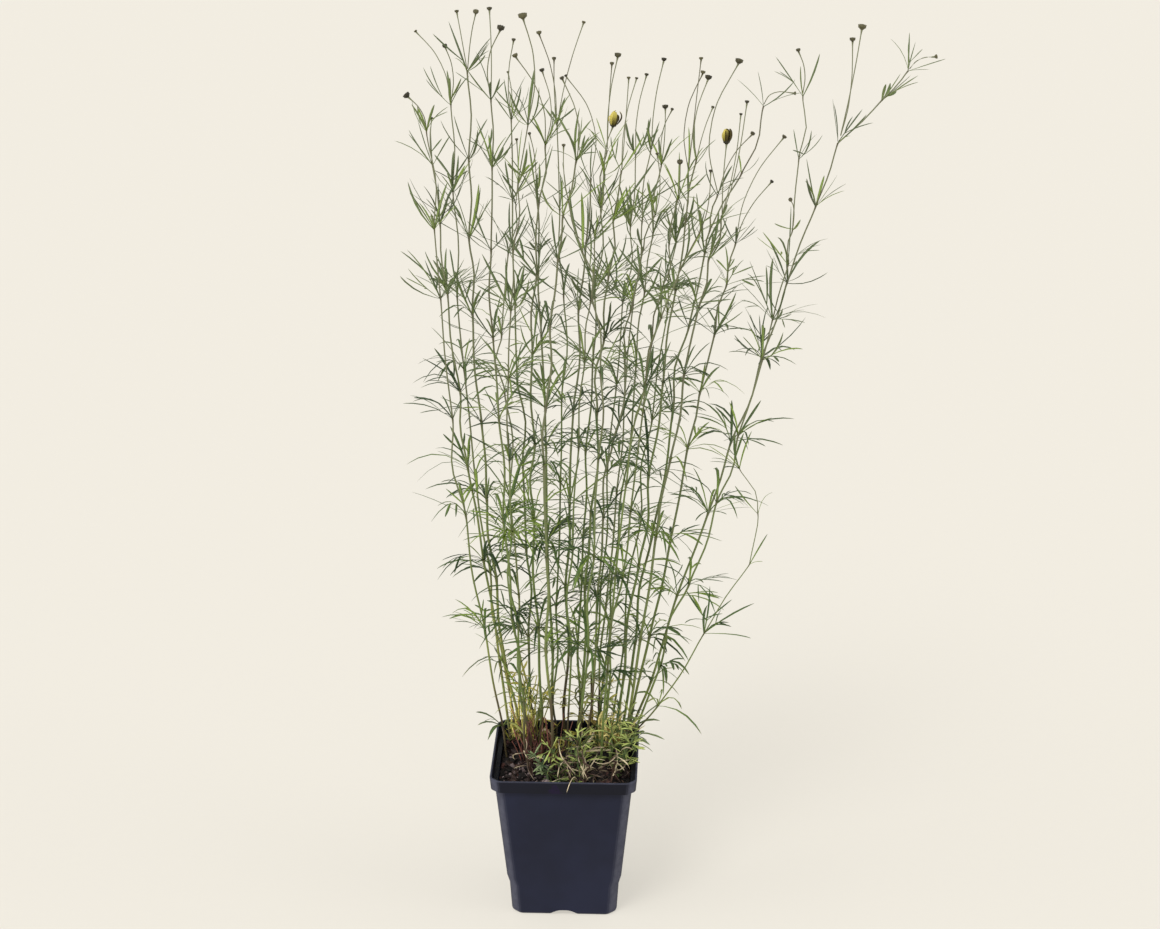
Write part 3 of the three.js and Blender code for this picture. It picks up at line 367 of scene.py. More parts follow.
# %% Pot: the skin
POT_WIDTH = 90 * MM
POT_HEIGHT = 97 * MM
POT_FOOT = 65 * MM
POT_UNDER_RIM = 83.6 * MM
POT_WALL = 1.2 * MM
RIM_HEIGHT = 8.5 * MM
RIM_TUCK = 1.4 * MM
SHOULDER_Z = 20 * MM
SHOULDER_RISE = 6 * MM
SHOULDER_LOW = 67.6 * MM
SHOULDER_HIGH = 70.8 * MM
CORNER_CUT = 5 * MM
CORNER_EASE = 1.9 * MM
FOOT_EASE = 2.2 * MM

LEDGE_Z = POT_HEIGHT - RIM_HEIGHT
LEDGE_RISE = 0.6 * MM
POT_SECTIONS = [
    (SHOULDER_Z, SHOULDER_LOW),
    (SHOULDER_Z + SHOULDER_RISE, SHOULDER_HIGH),
    (LEDGE_Z, POT_UNDER_RIM),
    (LEDGE_Z + LEDGE_RISE, POT_WIDTH - RIM_TUCK),
    (POT_HEIGHT, POT_WIDTH),
]


def raise_sections(sections, width):
    """Pulls the selected square up through (height, width) sections, from height 0."""
    height = 0
    for next_height, next_width in sections:
        move = {"value": (0, 0, next_height - height)}
        bpy.ops.mesh.extrude_region_move(TRANSFORM_OT_translate=move)
        share = next_width / width
        bpy.ops.transform.resize(value=(share, share, 1), center_override=(0, 0, next_height))
        height, width = next_height, next_width


def is_upright_corner(edge):
    low, high = sorted((v.co for v in edge.verts), key=lambda co: co.z)
    return high.z - low.z > 0.1 * MM and abs(abs(low.x) - abs(low.y)) < 0.01 * MM


bpy.ops.object.select_all(action="DESELECT")
bpy.ops.mesh.primitive_plane_add(size=POT_FOOT)
pot = started("nursery_pot")
bpy.ops.mesh.select_all(action="SELECT")
raise_sections(POT_SECTIONS, POT_FOOT)
bpy.ops.mesh.select_all(action="SELECT")
bpy.ops.mesh.normals_make_consistent(inside=False)
pick(pot, "EDGE", is_upright_corner)
bpy.ops.mesh.bevel(offset=CORNER_CUT, segments=1, affect="EDGES")
print("pot corner edges after the cut:", pick(pot, "EDGE", lambda e: middle(e).z > 0))

# %% [markdown]
# The flats' own edges are rounded a little, as a mould leaves them, and so is the foot. Both are
# found by place: a flat's edges are the upright ones, and the foot's lie on the ground.

# %% Pot: rounded edges
def is_upright(edge):
    one, other = (v.co for v in edge.verts)
    return abs(one.z - other.z) > 0.1 * MM


pick(pot, "EDGE", is_upright)
bpy.ops.mesh.bevel(offset=CORNER_EASE, segments=3, affect="EDGES")
pick(pot, "EDGE", lambda e: all(abs(v.co.z) < 0.01 * MM for v in e.verts))
bpy.ops.mesh.bevel(offset=FOOT_EASE, segments=3, affect="EDGES")
only(pot)
print("pot skin faces:", len(pot.data.polygons))

# %% [markdown]
# The arches and the drain holes are cut with simple tools. The arch tool is a bar with rounded upper
# edges and flanks that spread downwards, so that the arch runs out softly into the foot. The lid of
# the skin is then deleted, the wall gets its thickness inwards, and the drain holes go through the
# roof of each arch.

# %% Pot: arches, wall and drain holes
VENT_WIDTH = 10 * MM
VENT_HEIGHT = 3.2 * MM
VENT_DEPTH = 20 * MM
VENT_ROUND = 3.4 * MM
VENT_SPREAD = 2.6
VENT_OVERSHOOT = 10 * MM
DRAIN_RADIUS = 3 * MM
DRAIN_INSET = 2.5 * MM
DRAIN_TOOL = {"vertices": 20, "radius": DRAIN_RADIUS, "depth": 20 * MM}
DRAIN_Y = POT_FOOT / 2 - VENT_DEPTH + DRAIN_RADIUS + DRAIN_INSET


def vent_tool(turn):
    length = VENT_DEPTH + VENT_OVERSHOOT
    bpy.ops.object.select_all(action="DESELECT")
    bpy.ops.mesh.primitive_cube_add(size=1, scale=(VENT_WIDTH, length, 2 * VENT_HEIGHT))
    tool = started("vent_tool")
    pick(tool, "VERT", lambda v: v.co.z < 0)
    bpy.ops.transform.resize(value=(VENT_SPREAD, 1, 1), center_override=(0, 0, 0))
    pick(tool, "EDGE", lambda e: middle(e).z > 0 and abs(middle(e).x) > 0 and abs(middle(e).y) < MM)
    bpy.ops.mesh.bevel(offset=VENT_ROUND, segments=5, affect="EDGES")
    bpy.ops.mesh.select_all(action="SELECT")
    inner_end = POT_FOOT / 2 - VENT_DEPTH
    bpy.ops.transform.translate(value=(0, -inner_end - length / 2, 0))
    bpy.ops.transform.rotate(value=turn, orient_axis="Z", center_override=(0, 0, 0))
    only(tool)
    return tool


def drain_tool(turn):
    place = (DRAIN_Y * math.sin(turn), -DRAIN_Y * math.cos(turn), 0)
    bpy.ops.object.select_all(action="DESELECT")
    bpy.ops.mesh.primitive_cylinder_add(location=place, **DRAIN_TOOL)
    return bpy.context.object


QUARTERS = [quarter * math.pi / 2 for quarter in range(4)]
for turn in QUARTERS:
    cut_away(pot, vent_tool(turn))
only(pot)
bpy.ops.object.mode_set(mode="EDIT")
pick(pot, "FACE", lambda f: f.normal.z > 0.9 and middle(f).z > POT_HEIGHT - 0.1 * MM)
bpy.ops.mesh.delete(type="FACE")
apply_modifier(pot, "SOLIDIFY", thickness=POT_WALL, offset=-1, use_even_offset=True)
for turn in QUARTERS:
    cut_away(pot, drain_tool(turn))
print("pot shell faces:", len(pot.data.polygons))

# %% [markdown]
# The lip gets a fine round edge, which is the bright line that a thin moulded rim shows. Shading by
# angle then smooths the rounded edges and leaves the sharp ones crisp.

# %% Pot: lip
LIP_EASE = 0.35 * MM
SMOOTH_BELOW = math.radians(28)


def is_lip(edge):
    on_top = all(v.co.z > POT_HEIGHT - 0.05 * MM for v in edge.verts)
    return on_top and len(edge.link_faces) == 2 and edge.calc_face_angle(0) > 1


only(pot)
bpy.ops.object.mode_set(mode="EDIT")
pick(pot, "EDGE", is_lip)
bpy.ops.mesh.bevel(offset=LIP_EASE, segments=2, affect="EDGES")
only(pot)
bpy.ops.object.shade_smooth_by_angle(angle=SMOOTH_BELOW)
print("pot faces with the lip:", len(pot.data.polygons))

# %% [markdown]
# The plastic is a black blue with a satin finish. Its colour drifts a little, handling has dulled
# it in blots, there is dried splash under the rim, and a dark stain lies on the front of the collar.
# The corner flats and the lip are painted paler: partly scuffs, partly a painted highlight where the
# side lights catch them. The collar is painted darker, as painted shade from the foliage over it.
# To find the flats, the mesh carries a number for each face, which is highest where the face looks
# out at 45 degrees.

# %% Pot: finish
POT_DARK = (0.0125, 0.0145, 0.03, 1)
POT_BLUE = (0.0175, 0.0205, 0.044, 1)
POT_COLLAR_SHADE = (0.0058, 0.006, 0.0095, 1)
POT_SCUFF_AND_HIGHLIGHT = (0.07, 0.073, 0.106, 1)
POT_SPLASH = (0.075, 0.06, 0.055, 1)
POT_STAIN = (0.011, 0.007, 0.026, 1)
STAIN_PLACE = (-5 * MM, -44 * MM, 91 * MM)


def corner_share(face):
    """1 for an outer face that looks out at 45 degrees, as the corner flats do, and 0 for a wall."""
    across, deep = abs(face.normal.x), abs(face.normal.y)
    if max(across, deep) < 0.5 or face.normal.dot(face.center) < 0:
        return 0
    return min(across, deep) / max(across, deep)


flats = pot.data.attributes.new("flat", "FLOAT", "FACE")
flats.data.foreach_set("value", [corner_share(face) for face in pot.data.polygons])


def pot_sockets(start):
    place = place_of(start)
    height = axis_of(place, "Z")
    drift = speckle(place, 30 * MM)
    colour = mixed(drift.between(0.3, 0.7), POT_DARK, POT_BLUE)
    # Painted shade: the collar above the ledge is painted darker, as shade from the foliage over it.
    colour = mixed(height.between(LEDGE_Z - 0.2 * MM, LEDGE_Z + 0.3 * MM) * 0.8, colour, POT_COLLAR_SHADE)
    scuff_and_sheen = speckle(place, 4 * MM, 5, 0.7).between(0.3, 0.7) * 0.5 + 0.5
    # Painted highlight, partly real scuffs: the corner flats are painted paler, as where the side lights
    # catch them.
    colour = mixed(attribute(start, "flat").between(0.1, 1) * scuff_and_sheen, colour, POT_SCUFF_AND_HIGHLIGHT)
    # Painted highlight: a paler line along the lip, as where the rim's edge catches the light.
    lip = height.between(POT_HEIGHT - 0.9 * MM, POT_HEIGHT - 0.2 * MM)
    colour = mixed(lip * scuff_and_sheen * 0.75, colour, POT_SCUFF_AND_HIGHLIGHT)
    scratches = speckle(place, 2.2 * MM, 6, 0.75).between(0.64, 0.8)
    colour = mixed(scratches * 0.25, colour, POT_SCUFF_AND_HIGHLIGHT)
    splash = speckle(place, 1.6 * MM, 5, 0.7).between(0.7, 0.76) * height.between(60 * MM, 95 * MM)
    colour = mixed(splash * 0.4, colour, POT_SPLASH)
    centre = start.node("ShaderNodeVectorMath", {"operation": "DISTANCE"}, {0: place, 1: STAIN_PLACE}, 1)
    ragged = centre + speckle(place, 2.6 * MM, 5, 0.75) * (26 * MM)
    colour = mixed(1 - ragged.between(14.5 * MM, 17 * MM), colour, POT_STAIN)
    dull = speckle(place, 14 * MM, 4).between(0.35, 0.65) * 0.12 + 0.42 + scratches * 0.1
    normal = bumped(speckle(place, 0.5 * MM), 0.05 * MM, 0.5)
    return {"Base Color": colour, "Roughness": dull, "Normal": normal}


pot_finish = finish("black_blue_plastic", pot_sockets, Specular_IOR_Level=0.14)
closed(pot, pot_finish, "pot", "pot")
print("pot triangles:", triangles_of(pot))

# %% [markdown]
# ## The soil
# The fill is dark peat, a little mounded, about 8 mm under the rim. A displace modifier would make
# it rough as well, but then its height at a point would be known only afterwards, and crumbs and
# leaves have to be set on it. So one function gives the height everywhere: a fine grid is laid over
# the pot, and each of its points drops onto the CAD soil and gets peat's own roughness on top.

# %% Soil: its surface
MEAN_SOIL_Z = 87 * MM
SOIL_GAP = 0.35 * MM
SOIL_BOTTOM = 5 * MM
SOIL_CELLS = 150
DROP_FROM = 0.12
HOLE_DEPTH = 6 * MM

# The roughness of the peat: how many lumps or crumbs fit in a metre, and their heights in mm.
LUMP_PITCH, LUMP_HEIGHT = 170, 1.1
CRUMB_PITCH, CRUMB_HEIGHT = 620, 1.3
PEAT_SINK = 0.4 * MM
PEAT_LAYER = 0.3

soil_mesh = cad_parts["soil"].data
soil_faces = [face.vertices for face in soil_mesh.polygons]
soil_tree = BVHTree.FromPolygons([v.co for v in soil_mesh.vertices], soil_faces)


def soil_under(x, y):
    """Height of the CAD soil at a point. Its holes are passed over."""
    hit = soil_tree.ray_cast(Vector((x, y, DROP_FROM)), -UP)[0]
    return hit.z if hit and hit.z > MEAN_SOIL_Z - HOLE_DEPTH else MEAN_SOIL_Z


def peat_height(x, y):
    spot = Vector((x, y, PEAT_LAYER))
    lumps = fractal(spot * LUMP_PITCH, 0.8, 2.1, 3) * LUMP_HEIGHT * MM
    crumbs = abs(noise(spot * CRUMB_PITCH)) * CRUMB_HEIGHT * MM
    return soil_under(x, y) + lumps + crumbs - PEAT_SINK


def inside_width(z):
    return POT_FOOT + (POT_UNDER_RIM - POT_FOOT) * z / LEDGE_Z - 2 * POT_WALL


half_soil = inside_width(MEAN_SOIL_Z) / 2 - SOIL_GAP
bpy.ops.object.select_all(action="DESELECT")
bpy.ops.mesh.primitive_grid_add(x_subdivisions=SOIL_CELLS, y_subdivisions=SOIL_CELLS, size=2 * half_soil)
soil = started("potting_soil")
only(soil)
for point in soil.data.vertices:
    x, y = point.co.x, point.co.y
    over = abs(x) + abs(y) - (2 * half_soil - CORNER_CUT)
    if over > 0:
        x -= math.copysign(over / 2, x)
        y -= math.copysign(over / 2, y)
    point.co = (x, y, peat_height(x, y))
print("soil surface points:", len(soil.data.vertices))

# %% [markdown]
# The border edges are extruded straight down and drawn in to the width of the pot's floor. The
# lower ring is flattened and gets one face, which closes the block.

# %% Soil: the block under it
FLOOR_MARGIN = 0.012

bpy.ops.object.mode_set(mode="EDIT")
pick(soil, "EDGE", lambda e: len(e.link_faces) == 1)
bpy.ops.mesh.extrude_region_move(TRANSFORM_OT_translate={"value": (0, 0, SOIL_BOTTOM - MEAN_SOIL_Z)})
narrower = (inside_width(SOIL_BOTTOM) - 2 * SOIL_GAP) / (2 * half_soil) - FLOOR_MARGIN
bpy.ops.transform.resize(value=(narrower, narrower, 0), center_override=(0, 0, SOIL_BOTTOM))
bpy.ops.mesh.edge_face_add()
bpy.ops.mesh.select_all(action="SELECT")
bpy.ops.mesh.normals_make_consistent(inside=False)
only(soil)
bpy.ops.object.shade_smooth()
print("soil block faces:", len(soil.data.polygons))

# %% [markdown]
# Wet peat is nearly black, with brown fibre, red bark and a few grey flecks. One function mixes
# these colours, because the loose crumbs use it too. Roughness and bump read the same noise, so the
# raised spots are the ones that shine.

# %% Soil: finish
PEAT_BLACK = (0.0045, 0.0028, 0.0022, 1)
PEAT_BROWN = (0.03, 0.014, 0.011, 1)
PEAT_RED = (0.12, 0.045, 0.034, 1)
PEAT_GREY = (0.26, 0.19, 0.18, 1)


def peat_colour(place, tone):
    """Black to brown peat with red bark and a few grey flecks. The tone shifts it crumb by crumb."""
    blots = speckle(place, 3 * MM, 5, 0.7)
    colour = mixed((blots + tone * 0.5 - 0.25).between(0.38, 0.7), PEAT_BLACK, PEAT_BROWN)
    bark = speckle(place, 5 * MM, 4, 0.65)
    colour = mixed(bark.between(0.55, 0.7) * 0.8, colour, PEAT_RED)
    flecks = speckle(place, 1.1 * MM, 2)
    return mixed((flecks + tone * 0.12).between(0.68, 0.78) * 0.7, colour, PEAT_GREY)


def soil_sockets(start):
    place = place_of(start)
    blots = speckle(place, 1.2 * MM, 5, 0.7)
    return {
        "Base Color": peat_colour(place, blots * 0.5),
        "Roughness": 0.95 - blots.between(0.55, 0.75) * 0.35,
        "Normal": bumped(blots, 0.8 * MM),
    }


closed(soil, finish("peat", soil_sockets, Specular_IOR_Level=0.35), "soil", "soil")
print("soil triangles:", triangles_of(soil))

# %% [markdown]
# ## Many copies of one form
# Crumbs, leaf lobes and buds are each modelled once and repeated many times. Thousands of objects
# would be slow to handle, so the copies of one kind become one mesh. A template gives its points
# and triangles and is then removed, and arrays work out all of its copies at once.

# %% Copies: from a template to one mesh
def form_of(template):
    """The points and triangles of a template, which is then removed."""
    template.data.calc_loop_triangles()
    points = np.array([v.co for v in template.data.vertices])
    faces = np.array([t.vertices for t in template.data.loop_triangles])
    bpy.data.objects.remove(template)
    return points, faces


def put_numbers(mesh, name, values):
    mesh.attributes.new(name, "FLOAT", "POINT").data.foreach_set("value", np.float32(values).ravel())


def piece_of(name, points, faces, **numbers):
    mesh = bpy.data.meshes.new(name)
    mesh.from_pydata(points.reshape(-1, 3).tolist(), [], faces.reshape(-1, 3).tolist())
    for key, values in numbers.items():
        put_numbers(mesh, key, values)
    mesh.shade_smooth()
    piece = bpy.data.objects.new(name, mesh)
    bpy.context.scene.collection.objects.link(piece)
    return piece


def repeated(faces, copies, points_each):
    return faces[None] + (np.arange(copies) * points_each)[:, None, None]


def unit(vectors):
    return vectors / np.maximum(np.linalg.norm(vectors, axis=-1, keepdims=True), 1e-12)


def columns(rows, field):
    return np.array([getattr(row, field)[:] for row in rows])[:, None, :]


print("template helpers ready")

# %% [markdown]
# Two helpers place the copies. `scattered` turns and scales each copy as it is. `grown` bends a
# copy of a straight blade along a curve from its root to its tip, and twists it on the way. Both
# keep a number from 0 to 1 for each copy, its tone, which the finish reads. `grown` also keeps how
# far along the blade a point lies.

# %% Copies: rigid and bent
Spot = namedtuple("Spot", "place side up size tone")
Blade = namedtuple("Blade", "root control tip width face twist tone")


def scattered(name, form, spots):
    points, faces = form
    up = unit(columns(spots, "up"))
    side = columns(spots, "side")
    side = unit(side - up * np.sum(side * up, -1, keepdims=True))
    across = np.cross(up, side)
    size = np.array([spot.size for spot in spots])[:, None, None]
    turned = points[None, :, 0:1] * side + points[None, :, 1:2] * across + points[None, :, 2:3] * up
    tones = np.repeat([spot.tone for spot in spots], len(points))
    made = columns(spots, "place") + turned * size
    return piece_of(name, made, repeated(faces, len(spots), len(points)), tone=tones)


def grown(name, form, blades):
    points, faces = form
    root, control, tip = (columns(blades, field) for field in ("root", "control", "tip"))
    share = points[None, :, 1:2]
    line = (1 - share) ** 2 * root + 2 * share * (1 - share) * control + share**2 * tip
    ahead = unit((1 - share) * (control - root) + share * (tip - control))
    side = unit(np.cross(ahead, columns(blades, "face")))
    upper = np.cross(side, ahead)
    turn = np.array([blade.twist for blade in blades])[:, None, None] * share
    wide = side * np.cos(turn) + upper * np.sin(turn)
    thick = upper * np.cos(turn) - side * np.sin(turn)
    width = np.array([blade.width for blade in blades])[:, None, None]
    made = line + width * (points[None, :, 0:1] * wide + points[None, :, 2:3] * thick)
    tones = np.repeat([blade.tone for blade in blades], len(points))
    along = np.broadcast_to(share, (len(blades), len(points), 1))
    return piece_of(name, made, repeated(faces, len(blades), len(points)), tone=tones, along=along)


print("copy helpers ready")

# %% [markdown]
# ## Loose crumbs and chips
# Peat isn't a skin: it is covered with loose bits. Raising bumps on the soil's grid would leave
# them rounded and stuck together, so real bits are laid on it. All of them start as one rough ball,
# an icosphere whose points are moved at random. Their places are drawn with a fixed seed, so that
# each run lays them alike, and small bits are drawn more often than large ones.

# %% Loose bits: form and place
GRIT_MIDDLE = (-26, -12)
GRIT_SPREAD = (7, 13)
BALL_ROUGHNESS = {"offset": 0.16, "uniform": 0.6, "normal": 0.4}
BALL_DEPTH = 0.8
WALL_CLEARANCE = 2.5 * MM
SMALL_BIAS = 2.2
RAISED = 0.15


def rough_ball(name, rounds, flatness, seed):
    bpy.ops.object.select_all(action="DESELECT")
    bpy.ops.mesh.primitive_ico_sphere_add(subdivisions=rounds, radius=0.5)
    ball = started(name)
    bpy.ops.mesh.select_all(action="SELECT")
    bpy.ops.transform.vertex_random(seed=seed, **BALL_ROUGHNESS)
    bpy.ops.transform.resize(value=(1, BALL_DEPTH, flatness), center_override=(0, 0, 0))
    only(ball)
    return form_of(ball)


reach_on_soil = half_soil - WALL_CLEARANCE


def on_soil(draw):
    """A drawn spot on the soil, clear of the pot's wall."""
    while True:
        x = draw.uniform(-reach_on_soil, reach_on_soil)
        y = draw.uniform(-reach_on_soil, reach_on_soil)
        if abs(x) + abs(y) < 2 * reach_on_soil - CORNER_CUT:
            return Vector((x, y, peat_height(x, y)))


def at_left(draw):
    """A drawn spot at the left, where the pale grit lies."""
    drawn = [draw.gauss(centre, spread) * MM for centre, spread in zip(GRIT_MIDDLE, GRIT_SPREAD)]
    x, y = (max(-reach_on_soil, place) for place in drawn)
    return Vector((x, y, peat_height(x, y)))


Bits = namedtuple("Bits", "form count small large tilt find least_tone tones")


def lying_spots(draw, bits):
    spots = []
    for _ in range(bits.count):
        place = bits.find(draw)
        size = bits.small + (bits.large - bits.small) * draw.random() ** SMALL_BIAS
        lean = Vector((draw.uniform(-bits.tilt, bits.tilt), draw.uniform(-bits.tilt, bits.tilt), 1))
        side = Vector((draw.uniform(-1, 1), draw.uniform(-1, 1), 0.01))
        tone = bits.least_tone + bits.tones * draw.random()
        spots.append(Spot(place + UP * size * RAISED, side, lean, size, tone))
    return spots


print("a bit may lie this far from the middle, in mm:", round(reach_on_soil / MM, 1))

# %% [markdown]
# Four kinds of bits lie on the soil: fine crumbs, lumps, chips of bark, which are balls pressed
# flat, and pale grit at the left. They have the colours of the soil. The tone of a bit makes it
# lighter, and only the highest tones turn it pale, so most of the pale bits are grit.

# %% Crumbs, lumps, chips and grit
PALE_FLECK = (0.4, 0.31, 0.31, 1)


def crumb_sockets(start):
    place = place_of(start)
    tone = attribute(start, "tone")
    blots = speckle(place, 0.8 * MM, 4)
    colour = mixed(tone.between(0.96, 0.98) * 0.6, peat_colour(place, tone), PALE_FLECK)
    normal = bumped(blots, 0.4 * MM)
    return {"Base Color": colour, "Roughness": 0.85 - tone.between(0.4, 1) * 0.35, "Normal": normal}


draw = random.Random(7)
crumb_finish = finish("peat_crumbs", crumb_sockets, Specular_IOR_Level=0.4)
LOOSE_BITS = {
    "fine_crumbs": Bits(rough_ball("crumb", 1, 0.75, 3), 1500, 0.6 * MM, 2 * MM, 0.8, on_soil, 0, 1),
    "peat_lumps": Bits(rough_ball("lump", 2, 0.7, 5), 430, 2 * MM, 6.5 * MM, 0.8, on_soil, 0, 1),
    "bark_chips": Bits(rough_ball("chip", 2, 0.3, 11), 200, 2 * MM, 6.5 * MM, 0.6, on_soil, 0, 1),
    "pale_grit": Bits(rough_ball("grit", 1, 0.8, 4), 90, 1.2 * MM, 3.4 * MM, 0.8, at_left, 0.94, 0.06),
}
for name, bits in LOOSE_BITS.items():
    layer = scattered(name, bits.form, lying_spots(draw, bits))
    closed(layer, crumb_finish, "soil")
    print(name, "triangles:", triangles_of(layer))

# %% [markdown]
# ## Reading the plant from the frame
# In the CAD model each stem is a four-sided tube with a band at every node of the plant, and each
# leaf lobe is a spike on one of the band's triangles. That order makes the plant readable again:
# a lobe's tip is a point where exactly three long edges meet, a bud's crown has six equal spokes,
# and what is left over falls into bands of eight points. From these the script takes the line of
# each stem, the line of each lobe and the line of each stalk with the size of its bud.

# %% Reader: rings and lobes
Lobe = namedtuple("Lobe", "root bend tip")
Stalk = namedtuple("Stalk", "path axis radius")
Plant = namedtuple("Plant", "nodes branch lobes stalks")

LONG_EDGE = 3.5 * MM
SHORT_EDGE = 3.3 * MM
BEND_RING = 1.7 * MM
CROWN_WIDTH = 0.8


def centre_of(verts):
    return sum((v.co for v in verts), Vector()) / len(verts)


def next_ring(ring, known):
    around = {edge.other_vert(v) for v in ring for edge in v.link_edges}
    return around - known - ring


def spokes(v):
    return [edge.calc_length() for edge in v.link_edges]


def read_lobe(tip, used):
    ring = next_ring({tip}, set())
    widest = max((a.co - b.co).length for a in ring for b in ring)
    used.add(tip)
    if widest > BEND_RING:
        return Lobe(centre_of(ring), None, tip.co.copy())
    root = next_ring(ring, {tip})
    used.update(ring)
    return Lobe(centre_of(root), centre_of(ring), tip.co.copy())


def read_stalk(crown, used):
    """Walks down from a bud's crown: its two hexagons, then the stalk's three rings, then its root."""
    rings = [{crown}]
    for _ in range(6):
        rings.append(next_ring(rings[-1], rings[-2] if len(rings) > 1 else set()))
    for ring in rings[:-1]:
        used.update(ring)
    path = [centre_of(ring) for ring in reversed(rings[3:])]
    axis = (crown.co - path[-1]).normalized()
    return Stalk(path, axis, spokes(crown)[0] / CROWN_WIDTH)


print("reader for lobes and stalks ready")

# %% [markdown]
# The bands are found by walking over short edges only. A stem with a side branch has one larger
# group where the two were joined, and the two highest bands then belong to the branch.

# %% Reader: the whole plant
def short_groups(verts):
    groups, seen = [], set()
    for first in verts:
        if first in seen:
            continue
        group, waiting = [], [first]
        seen.add(first)
        while waiting:
            v = waiting.pop()
            group.append(v)
            for edge in v.link_edges:
                other = edge.other_vert(v)
                if other in verts and other not in seen and edge.calc_length() < SHORT_EDGE:
                    seen.add(other)
                    waiting.append(other)
        groups.append(group)
    return sorted(groups, key=lambda group: centre_of(group).z)


def is_tip(v):
    return len(v.link_edges) == 3 and min(spokes(v)) > LONG_EDGE


def is_crown(v):
    return len(v.link_edges) == 6 and max(spokes(v)) < 1.01 * min(spokes(v))


def read_plant(node):
    mesh = bmesh.new()
    mesh.from_mesh(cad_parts[node].data)
    bmesh.ops.remove_doubles(mesh, verts=mesh.verts, dist=MM / 1000)
    used = set()
    lobes = [read_lobe(v, used) for v in mesh.verts if is_tip(v)]
    stalks = [read_stalk(v, used) for v in mesh.verts if is_crown(v)]
    groups = short_groups({v for v in mesh.verts if v not in used})
    centres = [centre_of(group) for group in groups if len(group) == 4 or len(group) >= 8]
    joint = [centre_of(group) for group in groups if len(group) > 8]
    branch = [joint[0], *centres[-2:]] if joint else []
    nodes = centres[:-2] if joint else centres
    mesh.free()
    return Plant(nodes, branch, lobes, stalks)


STEM_NAMES = sorted(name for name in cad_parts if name.startswith("stem_"))
SHOOT_NAMES = sorted(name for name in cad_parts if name.startswith("shoot_"))
plants = {name: read_plant(name) for name in STEM_NAMES + SHOOT_NAMES}
print("stems:", len(STEM_NAMES), "shoots:", len(SHOOT_NAMES))
print("lobes:", sum(len(plant.lobes) for plant in plants.values()))
print("buds:", sum(len(plant.stalks) for plant in plants.values()))

# %% [markdown]
# ## Stems
# A coreopsis stem is wiry. Between two nodes it bows a little to one side, and the thin stalks of
# the buds leave it in an arc. Straight lines from node to node would show a kink at each of them, so
# each stem follows a Catmull-Rom spline, which runs smoothly through every node that the reader
# found. Its points stand closer together at the nodes, where the knuckles need them.

# %% Stem lines
STEM_STEP = 9 * MM
STEM_BOW = 3.2 * MM
BOW_PITCH = 90
STALK_ARC = 0.05
ARC_VARIES = 0.09
ARC_PITCH = 70

# Extra points beside each node, and how far from it the even points begin.
NODE_OFFSETS = (1.3 * MM, 3 * MM)
NODE_CLEAR = 4 * MM


def sag_of(root, tip):
    """The way across a line that leads down."""
    along = (tip - root).normalized()
    return (along * UP.dot(along) - UP).normalized()


def arched(path):
    """The same path in an arc: it rises more steeply at first and leans out towards its end."""
    far = (path[-1] - path[0]).length
    lift = -sag_of(path[0], path[-1]) * far * (STALK_ARC + ARC_VARIES * noise(path[-1] * ARC_PITCH))
    steps = len(path) - 1
    return [point + lift * math.sin(math.pi * k / steps) for k, point in enumerate(path)]


def catmull(a, b, c, d, t):
    """A point between b and c on the smooth line through all four."""
    return 0.5 * (2 * b + (c - a) * t + (2 * a - 5 * b + 4 * c - d) * t * t + (3 * b - a - 3 * c + d) * t**3)


def bow_at(a, b, share):
    """How far a stem sags aside between two nodes. The place of the nodes decides the way."""
    way = Vector((noise(a * BOW_PITCH), noise(b * BOW_PITCH + UP), 0))
    return way * 2 * math.sin(math.pi * share) ** 2


def smooth_line(points, bow=0):
    """Points along the line through the nodes, closer together at each of them."""
    before = [2 * points[0] - points[1]]
    after = [2 * points[-1] - points[-2]]
    four = before + points + after
    line = []
    for a, b, c, d in zip(four, four[1:], four[2:], four[3:]):
        length = (c - b).length
        clear = length - 2 * NODE_CLEAR
        steps = max(1, round(clear / STEM_STEP))
        offsets = [0, *NODE_OFFSETS]
        offsets += [NODE_CLEAR + clear * (i + 0.5) / steps for i in range(steps)]
        offsets += [length - offset for offset in reversed(NODE_OFFSETS)]
        shares = [offset / length for offset in offsets]
        line += [catmull(a, b, c, d, share) + bow_at(b, c, share) * bow for share in shares]
    return line + [points[-1].copy()]


print("stem line helpers ready")

# %% [markdown]
# A stem is up to 2 mm thick at the foot and about half of that at the top, with a slight knuckle at
# each node. A chain of cylinders would need its joints hidden. A curve with a round section is the
# natural way to draw it, since a radius at each point gives the taper and the knuckles at once. A
# stalk is thinner and widens into the neck of its bud.

# %% Stem curves
STEM_FOOT_RADIUS = 0.88 * MM
STEM_TOP_RADIUS = 0.42 * MM
STEM_GIRTHS = (0.75, 1.1)
LOW_BRANCH = "stem_26"
LOW_BRANCH_GIRTH = 0.65
BRANCH_RADIUS = 0.38 * MM
BRANCH_FOOT = 1.2
STALK_RADIUS = 0.3 * MM
KNUCKLE = 0.35
KNUCKLE_LENGTH = 1.8 * MM
NECK_FLARE = 1.2
NECK_POINTS = 3


def knuckled(point, nodes):
    nearest = min((point - node).length for node in nodes)
    return 1 + KNUCKLE * math.exp(-((nearest / KNUCKLE_LENGTH) ** 2))


def add_line(curve, points, radii):
    spline = curve.splines.new("POLY")
    spline.points.add(len(points) - 1)
    for place, point, radius in zip(spline.points, points, radii):
        place.co = (*point, 1)
        place.radius = radius / MM


def add_axis(curve, nodes, first_radius, last_radius):
    line = smooth_line(nodes, STEM_BOW)
    share = [i / (len(line) - 1) for i in range(len(line))]
    taper = [first_radius + (last_radius - first_radius) * s for s in share]
    add_line(curve, line, [r * knuckled(p, nodes[1:]) for r, p in zip(taper, line)])


